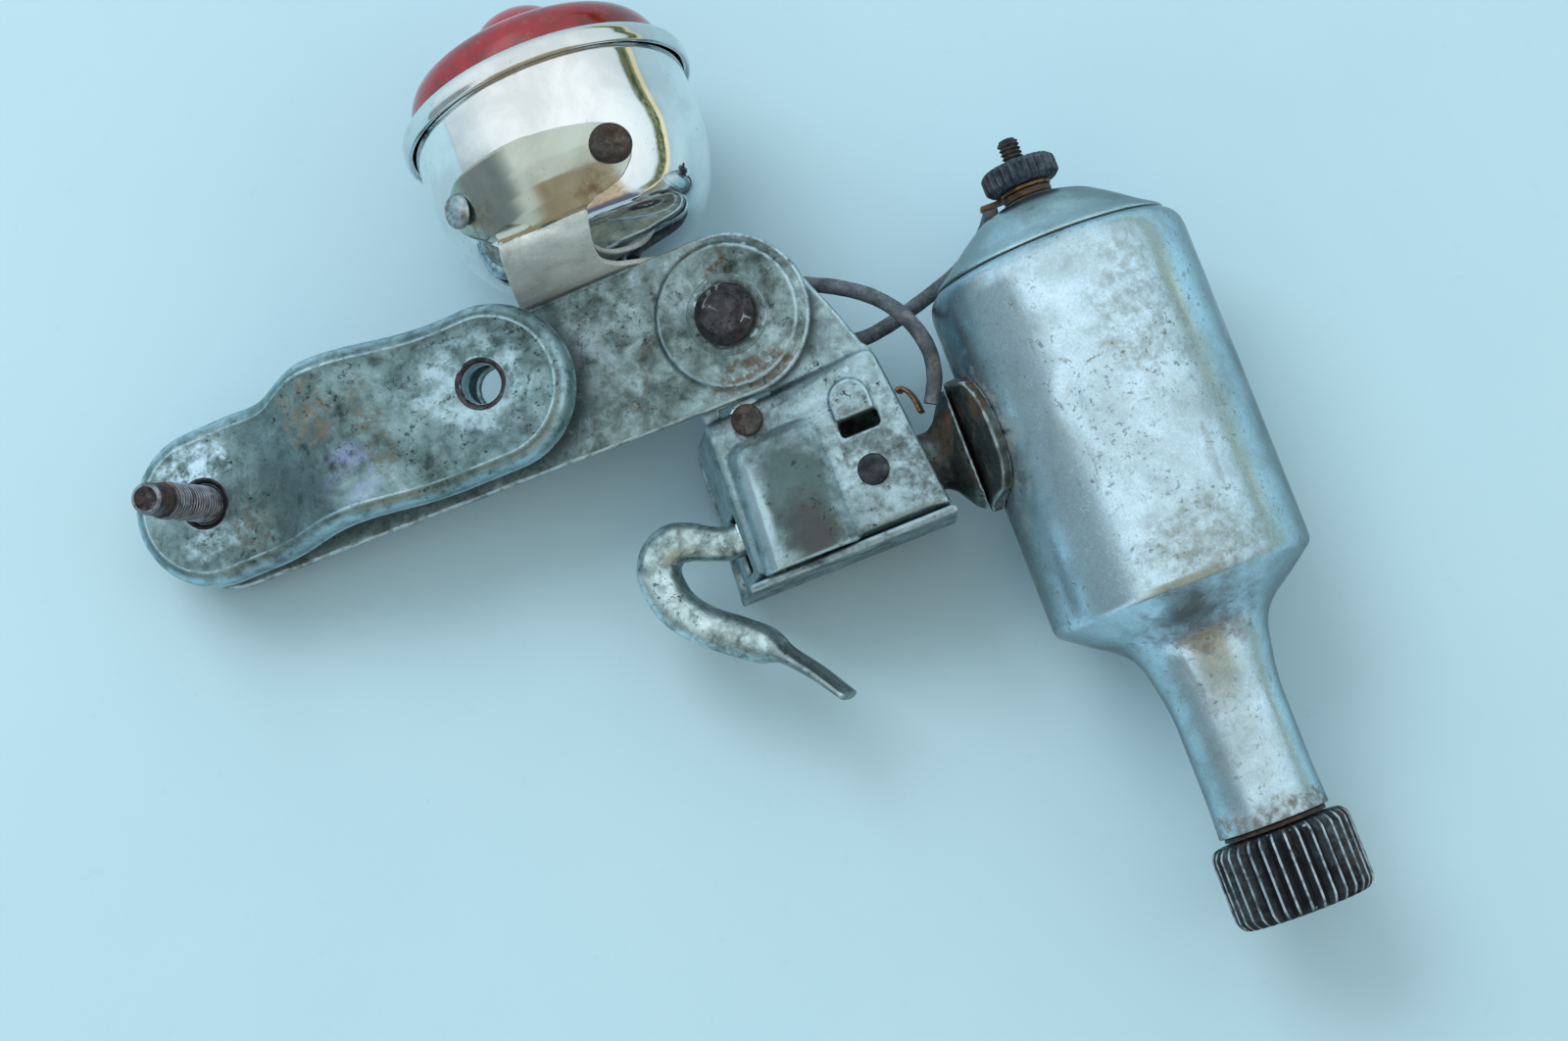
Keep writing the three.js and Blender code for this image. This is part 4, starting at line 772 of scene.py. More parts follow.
def jaw_line(d, K=22, M=84):
    RL, RR = 12.7 - d, 13.3 - d
    a = np.linspace(0, pi / 2, K + 1)
    f = np.arange(1, M) / M
    u = CL[0] + (CR[0] - CL[0]) * f
    c = CL[1] + (CR[1] - CL[1]) * f
    r = RL + (RR - RL) * f
    up = np.concatenate([
        np.stack([CL[0] - RL * np.cos(a), CL[1] + RL * np.sin(a)], 1),
        np.stack([u, c + r + 2.0 * bumpf(u, -64.5, 9, 24) - 0.5 * bumpf(u, -75, 6, 5)], 1),
        np.stack([CR[0] + RR * np.cos(a[::-1]), CR[1] + RR * np.sin(a[::-1])], 1)])
    lo = np.concatenate([
        np.stack([CL[0] - RL * np.cos(a), CL[1] - RL * np.sin(a)], 1),
        np.stack([u, c - r + 0.9 * bumpf(u, -67, 14, 16)], 1),
        np.stack([CR[0] + RR * np.cos(a[::-1]), CR[1] - RR * np.sin(a[::-1])], 1)])
    return np.concatenate([up, lo[1:-1][::-1]])


def jaw_ring(d, h, f=1.0):
    e = jaw_line(d)
    s = np.stack([np.clip(e[:, 0], CL[0], CR[0]), CL[1] + (CR[1] - CL[1]) * (np.clip(e[:, 0], CL[0], CR[0]) - CL[0]) / (CR[0] - CL[0])], 1)
    q = s + (e - s) * f
    return np.stack([q[:, 0], q[:, 1], jaw_top(q[:, 0]) + h], 1)


rings = [jaw_ring(3.4, -1.5, f) for f in (0.0, 0.25, 0.5, 0.75, 0.9)]
rings += [jaw_ring(*q) for q in ((3.4, -1.5), (2.9, -1.75), (2.4, -2.25), (2.0, -2.9), (1.6, -3.9), (1.45, -4.75), (1.3, -4.95), (0.25, -4.95), (0.02, -4.7), (0, -3.5), (0.12, -2.4), (0.4, -1.5), (0.8, -0.85), (1.3, -0.42), (1.75, -0.2), (2.05, -0.02), (2.3, 0.06), (2.6, 0.0), (3.1, -0.1), (3.8, -0.1))]
rings += [jaw_ring(3.8, -0.1 + 0.1 * min(1, (1 - f) * 2), f) for f in (0.93, 0.84, 0.72, 0.6, 0.48, 0.36, 0.24, 0.12, 0.0)]
jaw = loft("clamp_jaw_pressing", rings, br, JAW_LOOK, 42, caps=False)


def about_w(u0, v0):
    return lambda p: br(np.stack([u0 + np.asarray(p)[..., 0], v0 - np.asarray(p)[..., 2], np.asarray(p)[..., 1]], -1))


def boolean(obj, other, op="DIFFERENCE"):
    m = obj.modifiers.new("b", "BOOLEAN")
    m.operation = op
    m.solver = "MANIFOLD"
    m.object = other
    dg = bpy.context.evaluated_depsgraph_get()
    me = bpy.data.meshes.new_from_object(obj.evaluated_get(dg))
    obj.modifiers.clear()
    obj.data = me
    bpy.data.objects.remove(other)
    return obj


B1, B2 = (-88.07, 2.8), (-38.7, 3.4)
for c in (B1, B2):
    cutter = lathe("cutter", [[0, JAW_W - 8], [3.2, JAW_W - 8], [3.2, JAW_W - 0.75], [3.3, JAW_W - 0.5], [3.95, JAW_W + 0.02], [4.6, JAW_W + 1.5], [0, JAW_W + 1.5]], about_w(*c), None, 72, 0.0)
    boolean(jaw, cutter)
    collar = lathe("collar", [[3.2, JAW_W - 4.0], [4.3, JAW_W - 4.0], [4.3, JAW_W - 0.6], [3.2, JAW_W - 0.6]], about_w(*c), JAW_LOOK, 64, 0.0, loop=True)
    collar.name = "jaw_collar_left" if c is B1 else "jaw_collar_right"
    ring = lathe("ring", [[3.22, JAW_W - 3.0], [3.22, JAW_W - 0.55], [3.45, JAW_W - 0.15], [3.9, JAW_W + 0.08], [4.3, JAW_W - 0.02], [4.2, JAW_W - 1.0], [3.6, JAW_W - 3.0]], about_w(*c), STUD_LOOK, 72, 0.2, loop=True)
    ring.name = "jaw_hole_ring_left" if c is B1 else "jaw_hole_ring_right"
    give(collar, "jaw", "dull_zinc")
    give(ring, "jaw", "dull_zinc")


def dimple(co, amount, size, seed=0.0):
    """A hand-worn unevenness: moves points along Z by a smooth noise, in metres."""
    out = co.copy()
    for i, p in enumerate(co):
        out[i, 2] += noise.noise(Vector(p) * (1 / (size * MM)) + Vector((seed, seed * 0.7, 3.1))) * amount * MM
    return out


deform(jaw, lambda co: dimple(co, 0.10, 9.0, 2.0))
jaw.data.polygons.foreach_set("use_smooth", [True] * len(jaw.data.polygons))
jaw.data.set_sharp_from_angle(angle=math.radians(38))
give(jaw, "jaw", "dull_zinc", "clamp_jaw")


# ---------------------------------------------------------------- pressed pieces carried over from the frame, with their edges rounded
def pressed(node, name, look, body, slot, voxel=0.25, smooth=3, framed=True, warp=0.0, seed=0.0):
    me = NODES[node].data.copy()
    o = bpy.data.objects.new(name, me)
    COL.objects.link(o)
    bm = bmesh.new()
    bm.from_mesh(me)
    bmesh.ops.remove_doubles(bm, verts=bm.verts, dist=2e-7)
    bm.to_mesh(me)
    bm.free()
    # in the bracket's own frame the flat faces lie along the voxels
    turn = Matrix.Rotation(TILT, 4, "Y") if framed else Matrix.Identity(4)
    me.transform(turn)
    mod = o.modifiers.new("remesh", "REMESH")
    mod.mode = "VOXEL"
    mod.voxel_size = voxel * MM
    sm = o.modifiers.new("smooth", "SMOOTH")
    sm.factor = 0.5
    sm.iterations = smooth
    dg = bpy.context.evaluated_depsgraph_get()
    new = bpy.data.meshes.new_from_object(o.evaluated_get(dg))
    o.modifiers.clear()
    o.data = new
    new.transform(turn.inverted())
    new.name = name
    new.materials.clear()
    new.materials.append(look)
    if warp:
        deform(o, lambda co: dimple(co, warp, 8.0, seed))
    new.polygons.foreach_set("use_smooth", [True] * len(new.polygons))
    give(o, body, slot, node)
    return o


pressed("clamp_arm", "clamp_arm_stamping", ARM_LOOK, "arm", "dull_zinc", 0.27, 2, warp=0.06, seed=5.0)
pressed("housing_cover", "hinge_housing_cover", HOUSING_LOOK, "housing", "bright_zinc", 0.3, 4, warp=0.08, seed=8.0)
pressed("housing_back", "hinge_housing_back", BACK_LOOK, "housing", "dull_zinc", 0.34, 2)
pressed("yoke", "generator_yoke", YOKE_LOOK, "generator", "dull_zinc", 0.24, 4, framed=False)
pressed("saddle", "generator_saddle", YOKE_LOOK, "generator", "dull_zinc", 0.28, 4, framed=False)
for node, name, look, body, slot in (
    ("clamp_washer", "clamp_bolt_washer", BRIGHT_LOOK, "arm", "bright_zinc"),
    ("pivot_washer", "pivot_bolt_washer", BRIGHT_LOOK, "arm", "bright_zinc"),
    ("pivot_nut", "pivot_hex_nut", RUST_LOOK, "arm", "rusty_steel"),
    ("roller_nut", "roller_hex_nut", RUST_LOOK, "rotor", "rusty_steel"),
    ("wire_tag", "terminal_wire_tag", COPPER_LOOK, "generator", "copper"),
    ("terminal_insulator", "terminal_insulating_bush", PHENOLIC, "generator", "phenolic"),
):
    o = take(node, name, look, bevel=0.22, sharp=32)
    give(o, body, slot, node)


# ---------------------------------------------------------------- bolts
def threaded(name, r, y0, y1, pitch, depth, frame_of, look, n=56, tip=None, per=9, start=None):
    rows_ = []
    h = pitch / per
    y = y0
    prof = []
    if start:
        prof += start
    while y < y1 - 1e-9:
        prof.append((r, y, 1))
        y += h
    tip = tip or [(r - depth, y1, 0), (0, y1, 0)]
    prof += tip
    ang = np.linspace(0, 2 * pi, n, endpoint=False)
    verts, index = [], []
    for rr, yy, on in prof:
        if rr < 1e-6:
            index.append([len(verts)] * n)
            verts.append((0, yy, 0))
            continue
        index.append(list(range(len(verts), len(verts) + n)))
        for a in ang:
            q = rr
            if on:
                t = (yy / pitch - a / (2 * pi)) % 1.0
                tri = abs(t - 0.5) * 2
                fade = min(1, max(0, (yy - y0) / (pitch * 1.2)), max(0, (y1 - yy) / (pitch * 0.8)))
                q = rr - depth * (0.5 - 0.5 * math.cos(pi * min(1, tri * 1.15))) * fade
            verts.append((q * math.cos(a), yy, q * math.sin(a)))
    faces = []
    for i in range(len(prof) - 1):
        A, B = index[i], index[i + 1]
        for j in range(n):
            k = (j + 1) % n
            g = []
            for v in (A[j], A[k], B[k], B[j]):
                if v not in g:
                    g.append(v)
            if len(g) > 2:
                faces.append(g)
    return mesh_object(name, row(frame_of(np.array(verts))), faces, look, 60)


def join_objects(a, *others):
    bm = bmesh.new()
    bm.from_mesh(a.data)
    for o in others:
        bm.from_mesh(o.data)
    bm.to_mesh(a.data)
    bm.free()
    for o in others:
        bpy.data.objects.remove(o)
    return a


def hexagon(name, r, y0, y1, frame_of, look, cham=0.5, turn=0.0, n=96):
    """A hexagonal head with its corners turned off at both ends."""
    a = np.linspace(0, 2 * pi, n, endpoint=False)
    apo = r * math.cos(pi / 6)
    hexr = apo / np.cos((a - turn + pi / 6) % (pi / 3) - pi / 6)
    hexr = np.minimum(hexr, r * 0.985)
    rings = []
    for y, lim in ((y0, 0.0), (y0, apo * 0.97), (y0 + cham, r), (y1 - cham, r), (y1, apo * 0.97), (y1, 0.0)):
        rr = np.minimum(hexr, lim) if lim else hexr * 0
        rings.append(np.stack([rr * np.cos(a), np.full(n, y), rr * np.sin(a)], 1))
    return loft(name, rings, frame_of, look, 24, caps=False)


TOP = JAW_W + 22.5
ax = about_w(*B1)
stud_part = threaded(
    "clamp_stud", 2.96, -2.4, TOP - 6.1, 1.0, 0.5, ax, STUD_LOOK,
    tip=[(2.94, TOP - 6.1, 0), (2.72, TOP - 5.75, 0), (2.5, TOP - 5.6, 0), (2.5, TOP - 0.75, 0), (2.42, TOP - 0.4, 0), (2.1, TOP - 0.05, 0), (1.9, TOP, 0), (1.7, TOP - 0.12, 0), (0, TOP - 0.2, 0)],
    start=[(0, -3.0, 0), (2.9, -3.0, 0)])
head = hexagon("clamp_head", 5.6, -6.4, -2.4, ax, STUD_LOOK)
give(join_objects(stud_part, head), "bolt", "rusty_steel", "clamp_bolt")

piv = about_w(0, 0)
head = lathe("pivot_bolt_head", [[0, 4.5], [2.4, 4.53], [2.95, 4.6], [3.25, 4.72, 0.15], [3.45, 4.66, 0.15], [4.78, 3.4, 0.3], [4.8, 1.9], [4.4, 1.62], [2.9, 1.62], [2.9, -11.3], [2.4, -11.5], [0, -11.5]], piv, HEAD_LOOK, 96, 0.18, sharp=60)
give(head, "arm", "black_steel", "pivot_bolt")
ring = lathe("pivot_seat_ring", [[4.9, 1.5], [5.0, 1.78], [5.7, 1.86], [6.35, 1.74], [6.5, 1.5]], piv, ARM_LOOK, 96, 0.12, loop=True)
give(ring, "arm", "dull_zinc")

for node, c, y0, prof, look, slot in (
    ("lever_rivet", (-3.26, -16.3), 0, [[0, 0.1], [0.7, 0.12], [1.1, 0.3], [1.9, 0.33], [2.35, 0.1], [2.55, -0.3], [2.5, -0.72], [1.6, -0.76], [1.6, -6.3], [2.4, -6.3], [2.4, -7.0], [0, -7.0]], RUST_LOOK, "rusty_steel"),
    ("cover_rivet", (12.6, -30.9), 0, [[0, -0.5], [0.8, -0.52], [1.15, -0.38], [1.75, -0.22], [2.3, -0.3], [2.55, -0.6], [2.4, -0.78], [1.5, -0.8], [1.5, -2.5], [2.3, -2.6], [2.3, -3.2], [0, -3.2]], DARK_LOOK, "dull_zinc"),
):
    o = lathe(node + "_head", prof, about_w(*c), look, 64, 0.12, sharp=60)
    give(o, "housing", slot, node)

# ---------------------------------------------------------------- lamp
SHELL = [[22.5, -0.6], [22.5, -4], [22.3, -13], [21.5, -17], [20.5, -20], [19.4, -22.3], [18.0, -24.2], [16.2, -25.6], [14, -26.4], [9, -26.9], [4, -26.95]]
sh, _ = spline(np.array([[r, y, 0] for r, y in SHELL]), 90)
sh = sh[:, :2]
tan = np.gradient(sh, axis=0)
tan /= np.linalg.norm(tan, axis=1)[:, None]
inn = sh + np.stack([tan[:, 1], -tan[:, 0]], 1) * 0.7
prof = [[0, -26.95]] + sh[::-1].tolist() + [[22.35, -0.45], [21.95, -0.45]] + inn.tolist() + [[0, -26.25]]
prof = [p for p in prof if p[0] >= 0]
shell = lathe("lamp_shell_drawn", prof, lamp, CHROME, 192, 0.0, sharp=50)
give(shell, "arm", "chrome", "lamp_shell")
rim = lathe("lamp_rim_rolled", [[22.78, -1.7], [23.2, -2.1, 0.3], [23.75, -2.0, 0.4], [24.0, -1.2, 0.5], [23.98, 0.3, 0.5], [23.7, 1.1, 0.6], [23.0, 1.6, 0.5], [22.0, 1.78, 0.4], [21.42, 1.72, 0.2], [21.36, 0.85], [22.78, 0.6]], lamp, RIM_CHROME, 192, 0.2, loop=True, sharp=45)
give(rim, "lens_cap", "chrome", "lamp_rim")
lens = lathe(
    "red_lens_moulding",
    [[0, 17.3], [1.8, 17.15, 0.6], [3.6, 16.7, 0.7], [5.2, 15.9, 0.8], [6.4, 14.9, 0.8], [7.5, 13.6, 0.8], [8.2, 12.2, 0.6], [8.6, 10.9, 0.4], [9.0, 10.1, 0.3], [9.6, 9.75, 0.3], [10.6, 9.6, 0.4], [13.0, 9.5, 0.8], [15.4, 9.25, 0.8], [17.4, 8.75, 0.8], [19.2, 7.75, 0.8], [20.3, 6.3, 0.7], [20.85, 4.8, 0.6], [21.02, 3.2, 0.4], [21.1, 0.5, 0.1], [22.3, 0.4, 0.1], [22.25, 0.02, 0.1], [19.9, 0.1, 0.1], [19.6, 0.6, 0.1], [19.45, 3.2, 0.6], [19.0, 4.9, 0.6], [18.1, 6.2, 0.6], [16.7, 7.1, 0.6], [14.7, 7.7, 0.6], [9.8, 8.0, 0.5], [7.7, 8.7, 0.5], [7.0, 10.2, 0.4], [6.5, 12.2, 0.6], [5.0, 14.0, 0.6], [2.9, 15.2, 0.6], [0, 15.7]],
    lamp, LENS, 160, 0.3, sharp=55)
give(lens, "lens_cap", "red_lens", "lens")
for node, name, look, slot, prof in (
    ("bulb_base", "bulb_screw_base", BRIGHT_LOOK, "bright_zinc", [[0, -22.6], [1.6, -22.6], [2, -21.4], [4.3, -20.8]] + [[4.3 + 0.3 * (i % 2), -20.4 + i * 0.55] for i in range(18)] + [[4.5, -9.8], [4.2, -9.6], [0, -9.6]]),
    ("bulb_glass", "bulb_glass_envelope", GLASS, "bulb_glass", [[0, -9.5], [3.3, -9.5], [3.5, -7.9], [4.3, -6.0], [5.05, -4.0], [5.38, -1.6], [5.1, 0.6], [4.2, 2.4], [2.7, 3.6], [1.2, 4.05], [0, 4.1]]),
    ("bulb_socket", "bulb_lamp_holder", BRASS_LOOK, "brass", [[0, -26.05], [5.9, -26.05], [6.2, -25.7], [6.2, -12.3], [6.0, -12.05], [5.1, -12.05], [4.92, -12.3], [4.92, -24.2], [0, -24.4]]),
    ("contact_spring", "bulb_contact", BRASS_LOOK, "brass", [[0.9, -24.3], [1.5, -24.3], [1.4, -23.9], [1.5, -23.5], [1.4, -23.1], [1.5, -22.75], [0.9, -22.75]]),
):
    o = lathe(name, prof, lamp, look, 64, 0.25, loop=(node == "contact_spring"), sharp=50)
    give(o, "arm", slot, node)
o = lathe("lamp_wire_grommet", [[1.35, -28.6], [2.6, -28.6], [3.0, -28.2], [3.0, -27.4], [2.85, -27.1], [2.85, -26.2], [3.0, -25.9], [3.0, -24.9], [2.5, -24.4], [1.35, -24.4]], lambda p: lamp(np.asarray(p) + np.array([3, 0, -13])), RUBBER, 48, 0.3, loop=True)
give(o, "arm", "lead_rubber", "lamp_grommet")


def shell_r(d):
    d = np.asarray(d, float)
    ys = [-y for r, y in SHELL[:-1]]
    rs = [r for r, y in SHELL[:-1]]
    return np.interp(d, ys, rs)


M3 = np.stack([LX, LA, LZ], 1)


def on_shell(x, y, lift):
    lo, hi = np.full(np.shape(x), 20.0), np.full(np.shape(x), 60.0)
    x, y = np.asarray(x, float), np.asarray(y, float)
    for _ in range(34):
        z = (lo + hi) / 2
        q = (np.stack([x, y, z], -1) - LC) @ M3
        out = np.hypot(q[..., 0], q[..., 2]) > shell_r(-q[..., 1]) + lift
        hi = np.where(out, z, hi)
        lo = np.where(out, lo, z)
    return lo


def w_at(x, w):
    return PZ + x * math.tan(TILT) + w / CT


cols = 9
key = []
for yl, yr, xl, xr, rise in ((32.2, 31.5, -29.5, -11.5, 0.9), (31.6, 31.1, -32.0, -9.2, 1.0), (30.6, 30.2, -33.2, -7.3, 0.9), (29.2, 28.9, -34.0, -5.9, 0.6), (27.4, 27.3, -34.3, -5.5, 0.4),
                             (25.8, 25.8, -34.0, -5.9, 0.2), (24.4, 24.4, -33.3, -6.7, 0.1), (23.2, 22.9, -32.2, -8.3, 0), (22.2, 21.8, -31.0, -10.8, 0), (21.3, 21.1, -30.0, -13.4, 0)):
    t = np.linspace(0, 1, cols)
    x, y = xl + (xr - xl) * t, yl + (yr - yl) * t + rise * (1 - (2 * t - 1) ** 2)
    key.append(np.stack([x, y, on_shell(x, y, 0.6)], 1))
for y, xl, xr, z in ((20.6, -29.6, -14.9, 43.6), (19.8, -29.7, -15.2, 43.3), (18.9, -29.8, -15.5, 43.0), (18.1, -30.0, -15.7, 41.9), (17.4, -30.1, -15.9, 40.0), (16.6, -30.2, -16.0, 36.9), (15.9, -30.3, -15.9, 33.0), (15.3, -30.3, -15.2, 29.4),
                     (14.8, -30.3, -13.2, 1.5), (14.4, -30.2, -10.4, -0.9), (13.7, -29.9, -7.2, -2.05), (11.0, -29.0, -3.4, -2.15), (7.0, -22.5, 3.2, -2.15), (3.0, -15.0, 6.6, -2.15), (-1.5, -10.5, 7.4, -2.15), (-5.5, -8.2, 5.4, -2.15), (-7.6, -6.0, 2.4, -2.15)):
    x = np.linspace(xl, xr, cols)
    zz = np.full(cols, z) if z > 1.6 else w_at(x, z)
    if y > 19.5:
        zz = np.maximum(zz, on_shell(x, np.full(cols, y), 0.6))
    key.append(np.stack([x, np.full(cols, y), zz], 1))
key = np.array(key)


def refine(grid, nr, nc):
    """A smooth surface through a grid of points."""
    a = np.stack([spline(grid[:, j], nr)[0] for j in range(grid.shape[1])], 1)
    return np.stack([spline(a[i], nc)[0] for i in range(nr)], 0)


def catmull_rows(grid, per):
    out = []
    n = len(grid)
    g = np.concatenate([[2 * grid[0] - grid[1]], grid, [2 * grid[-1] - grid[-2]]])
    for i in range(1, n):
        p0, p1, p2, p3 = g[i - 1 : i + 3]
        for t in np.arange(per) / per:
            out.append(0.5 * ((2 * p1) + (-p0 + p2) * t + (2 * p0 - 5 * p1 + 4 * p2 - p3) * t * t + (-p0 + 3 * p1 - 3 * p2 + p3) * t ** 3))
    out.append(grid[-1])
    return np.array(out)


fine_g = catmull_rows(key, 7)
fine_g = catmull_rows(fine_g.transpose(1, 0, 2), 5).transpose(1, 0, 2)
# the ears keep to the shell between the key rows as well
ear = fine_g[..., 1] > 21.4
hug = on_shell(fine_g[..., 0], fine_g[..., 1], 0.6)
fine_g[..., 2] = np.where(ear, hug, fine_g[..., 2])
du = np.gradient(fine_g, axis=0)
dv = np.gradient(fine_g, axis=1)
nn = np.cross(du, dv)
nn /= np.linalg.norm(nn, axis=2)[..., None]
if nn[20, 20, 2] < 0:
    nn = -nn
nr, nc = fine_g.shape[:2]
# a rim loop with a rounded edge, then both faces
thick, er = 0.95, 0.28
edge_in = np.zeros((nr, nc))


def layer(h, shrink):
    g = fine_g + nn * h
    if shrink:
        s = g.copy()
        s[:, 0] += unit_rows(g[:, 1] - g[:, 0]) * shrink
        s[:, -1] += unit_rows(g[:, -2] - g[:, -1]) * shrink
        s[0] += unit_rows(g[1] - g[0]) * shrink
        s[-1] += unit_rows(g[-2] - g[-1]) * shrink
        return s
    return g


def unit_rows(a):
    return a / np.maximum(np.linalg.norm(a, axis=-1), 1e-9)[..., None]


def border(g):
    return np.concatenate([g[0, :-1], g[:-1, -1], g[-1, :0:-1], g[:0:-1, 0]])


lo_l, hi_l = layer(0.03, er), layer(thick, er)
verts = [lo_l.reshape(-1, 3), hi_l.reshape(-1, 3)]
faces = grid_faces(nr, nc) + grid_faces(nr, nc, o=nr * nc)
base = 2 * nr * nc
loops = [border(lo_l), border(layer(0.03 + er * 0.3, er * 0.3)), border(layer(0.03 + er, 0)), border(layer(thick - er, 0)), border(layer(thick - er * 0.3, er * 0.3)), border(hi_l)]
L = len(loops[0])
verts += loops
for k in range(len(loops) - 1):
    for i in range(L):
        j = (i + 1) % L
        faces.append([base + k * L + i, base + k * L + j, base + (k + 1) * L + j, base + (k + 1) * L + i])
bracket = mesh_object("lamp_bracket_strip", row(np.concatenate(verts)), faces, NICKEL, 50)
cutter = lathe("cutter", [[0, -12], [3.15, -12], [3.15, 12], [0, 12]], piv, None, 48, 0.0)
boolean(bracket, cutter)
bracket.data.polygons.foreach_set("use_smooth", [True] * len(bracket.data.polygons))
bracket.data.set_sharp_from_angle(angle=math.radians(50))
bracket.data.materials.append(STRIP_LOOK)
for f in bracket.data.polygons:
    if f.center.y / MM + SHIFT[1] < 19.6:
        f.material_index = len(bracket.data.materials) - 1
give(bracket, "arm", "satin_shell", "lamp_bracket")


def stud_frame(x, y, lift=2.4):
    z = float(on_shell(np.array(x), np.array(y), 0))
    q = (np.array([x, y, z]) - LC) @ M3
    out = unit(np.array([q[0], 0, q[2]]))
    out = M3 @ out
    a = unit(np.cross(out, LA))
    b = np.cross(a, out)
    o = np.array([x, y, z]) + out * lift
    return lambda p: o + np.asarray(p)[..., 0:1] * a + np.asarray(p)[..., 1:2] * out + np.asarray(p)[..., 2:3] * b


f = stud_frame(-32.1, 27.3)
o = lathe("lamp_rivet_left_head", [[0, 0.9], [1.05, 0.93], [1.75, 0.84], [2.35, 0.46], [2.72, -0.05], [2.78, -0.7], [2.5, -0.78], [0, -0.78]], f, RIVET_LOOK, 64, 0.3, sharp=60)
give(o, "arm", "bright_zinc", "lamp_rivet_left")
f = stud_frame(-8.9, 27.0)
o = lathe("lamp_screw_right_head", [[0, 0.6], [1.35, 0.62], [1.7, 0.86], [2.3, 0.95], [2.85, 0.6], [3.28, 0.05], [3.35, -0.7], [3.0, -0.78], [0, -0.78]], f, RUST_LOOK, 64, 0.25, sharp=60)
give(o, "arm", "rusty_steel", "lamp_screw_right")

# ---------------------------------------------------------------- hinge parts
SPU, SPW = 1.7, -8.3
sp = br(np.array([SPU, 0, SPW]))


def about_y(x, z):
    return lambda p: np.asarray(p) + np.array([x, 0, z])


o = lathe("hinge_spindle_pin", [[0, -40.3], [3.3, -40.3], [3.6, -39.9], [3.6, -39.1], [3.2, -38.8], [2.5, -38.8], [2.5, -17.2], [2.1, -16.8], [0, -16.8]], about_y(sp[0], sp[2]), ZINC_LOOK, 64, 0.25)
give(o, "housing", "dull_zinc", "hinge_spindle")
turns = 4
t = np.linspace(0, 1, turns * 36)
a = 2 * pi * turns * t + 0.4
coil = np.stack([SPU + 4.0 * np.cos(a), -26.1 + t * 5.4, SPW + 4.0 * np.sin(a)], 1)
coil = br(coil)
o, _, _ = tube("hinge_torsion_spring", coil.tolist()[::3], 0.58, DARK_LOOK, 12, 0.5)
give(o, "housing", "black_steel", "torsion_spring")

P = np.array([[-8.4, -31.9, -5.2], [-11.0, -32.7, -5.9], [-14.3, -32.6, -6.6], [-17.4, -31.4, -6.6], [-20.0, -30.1, -6.6], [-22.9, -29.5, -6.6], [-25.3, -30.7, -6.6], [-26.6, -33.2, -6.6], [-26.4, -36.7, -6.6], [-25.2, -39.9, -6.6], [-22.3, -43.5, -6.6], [-18.2, -46.8, -6.6], [-14.3, -49.9, -6.6], [-12.9, -51.2, -6.6], [-11.8, -52.4, -6.6], [-8.2, -56.8, -6.6], [-4.9, -61.8, -6.6]])
S = np.array([[4.6, 3.6], [5.0, 5.0], [5.4, 5.4], [5.6, 5.6], [6.2, 6.2], [6.8, 6.8], [7.0, 7.0], [7.0, 7.4], [6.8, 8.2], [6.6, 8.8], [6.5, 9], [6.5, 9], [6.0, 9.4], [4.4, 10.4], [3.0, 11], [2.2, 12], [1.8, 11.6]])
both, _ = spline(np.concatenate([P, S], 1), 130)
lever = sweep("release_lever_hook", both[:, :3], both[:, 3:], [0, 0, 1], br, LEVER_LOOK, 36, 0.8, 60)
plate_o = [(-3.26 + 3.5 * math.cos(math.radians(q)), -16.3 + 3.5 * math.sin(math.radians(q))) for q in np.linspace(-35, 200, 40)] + [(-7.2, -20), (-8.6, -27.8), (-9.0, -30.0), (-11.5, -30.6), (-11.6, -33.4), (-8.2, -33.4), (-7.6, -29.4), (-4.9, -22.2), (-3.6, -19.6)]
rr = [np.array([[u, v, w] for u, v in plate_o]) for w in (-5.5, -3.1)]
plate = loft("lever_plate", rr, br, LEVER_LOOK, 30)
give(join_objects(lever, plate), "lever", "bright_zinc", "release_lever")
lever.data.set_sharp_from_angle(angle=math.radians(48))

p = np.array([[19.8, -20.4, -5.9], [20.6, -20.3, -5.9], [21.4, -21.2, -5.9], [21.9, -22.8, -5.9], [22.1, -24.8, -5.9]])
q, _ = spline(np.concatenate([p, [[0.8, 5 - i * 0.35] for i in range(5)]], 1), 40)
o = sweep("earth_lug_tab", q[:, :3], q[:, 3:], [0, 0, 1], br, COPPER_LOOK, 28, 0.5, 50)
give(o, "housing", "copper", "earth_lug")

# ---------------------------------------------------------------- generator
NECK = [[21.4, -64.2, 0.9], [21.0, -65.2, 0.9], [16.4, -68.6, 2.2], [13.3, -70.6, 1.6], [11.4, -72.5, 1.4], [10.3, -74.8, 1.4], [9.9, -77, 1.6], [9.2, -80.5, 1.8], [8.8, -84, 1.6], [8.8, -98, 2.0], [9.0, -103.6, 0.2]]
side = [[19.4, -7.9, 0.1], [20.4, -8.6, 0.6], [21.1, -9.8, 0.8], [21.4, -11.6, 0.8]] + [[21.4, -13.4 - i * 2.2] for i in range(23)]
inner = [[r - 1.05, y + (0.7 if -74 < y < -65 else 0)] for r, y, _ in NECK]
inner[0][1] = -63.4


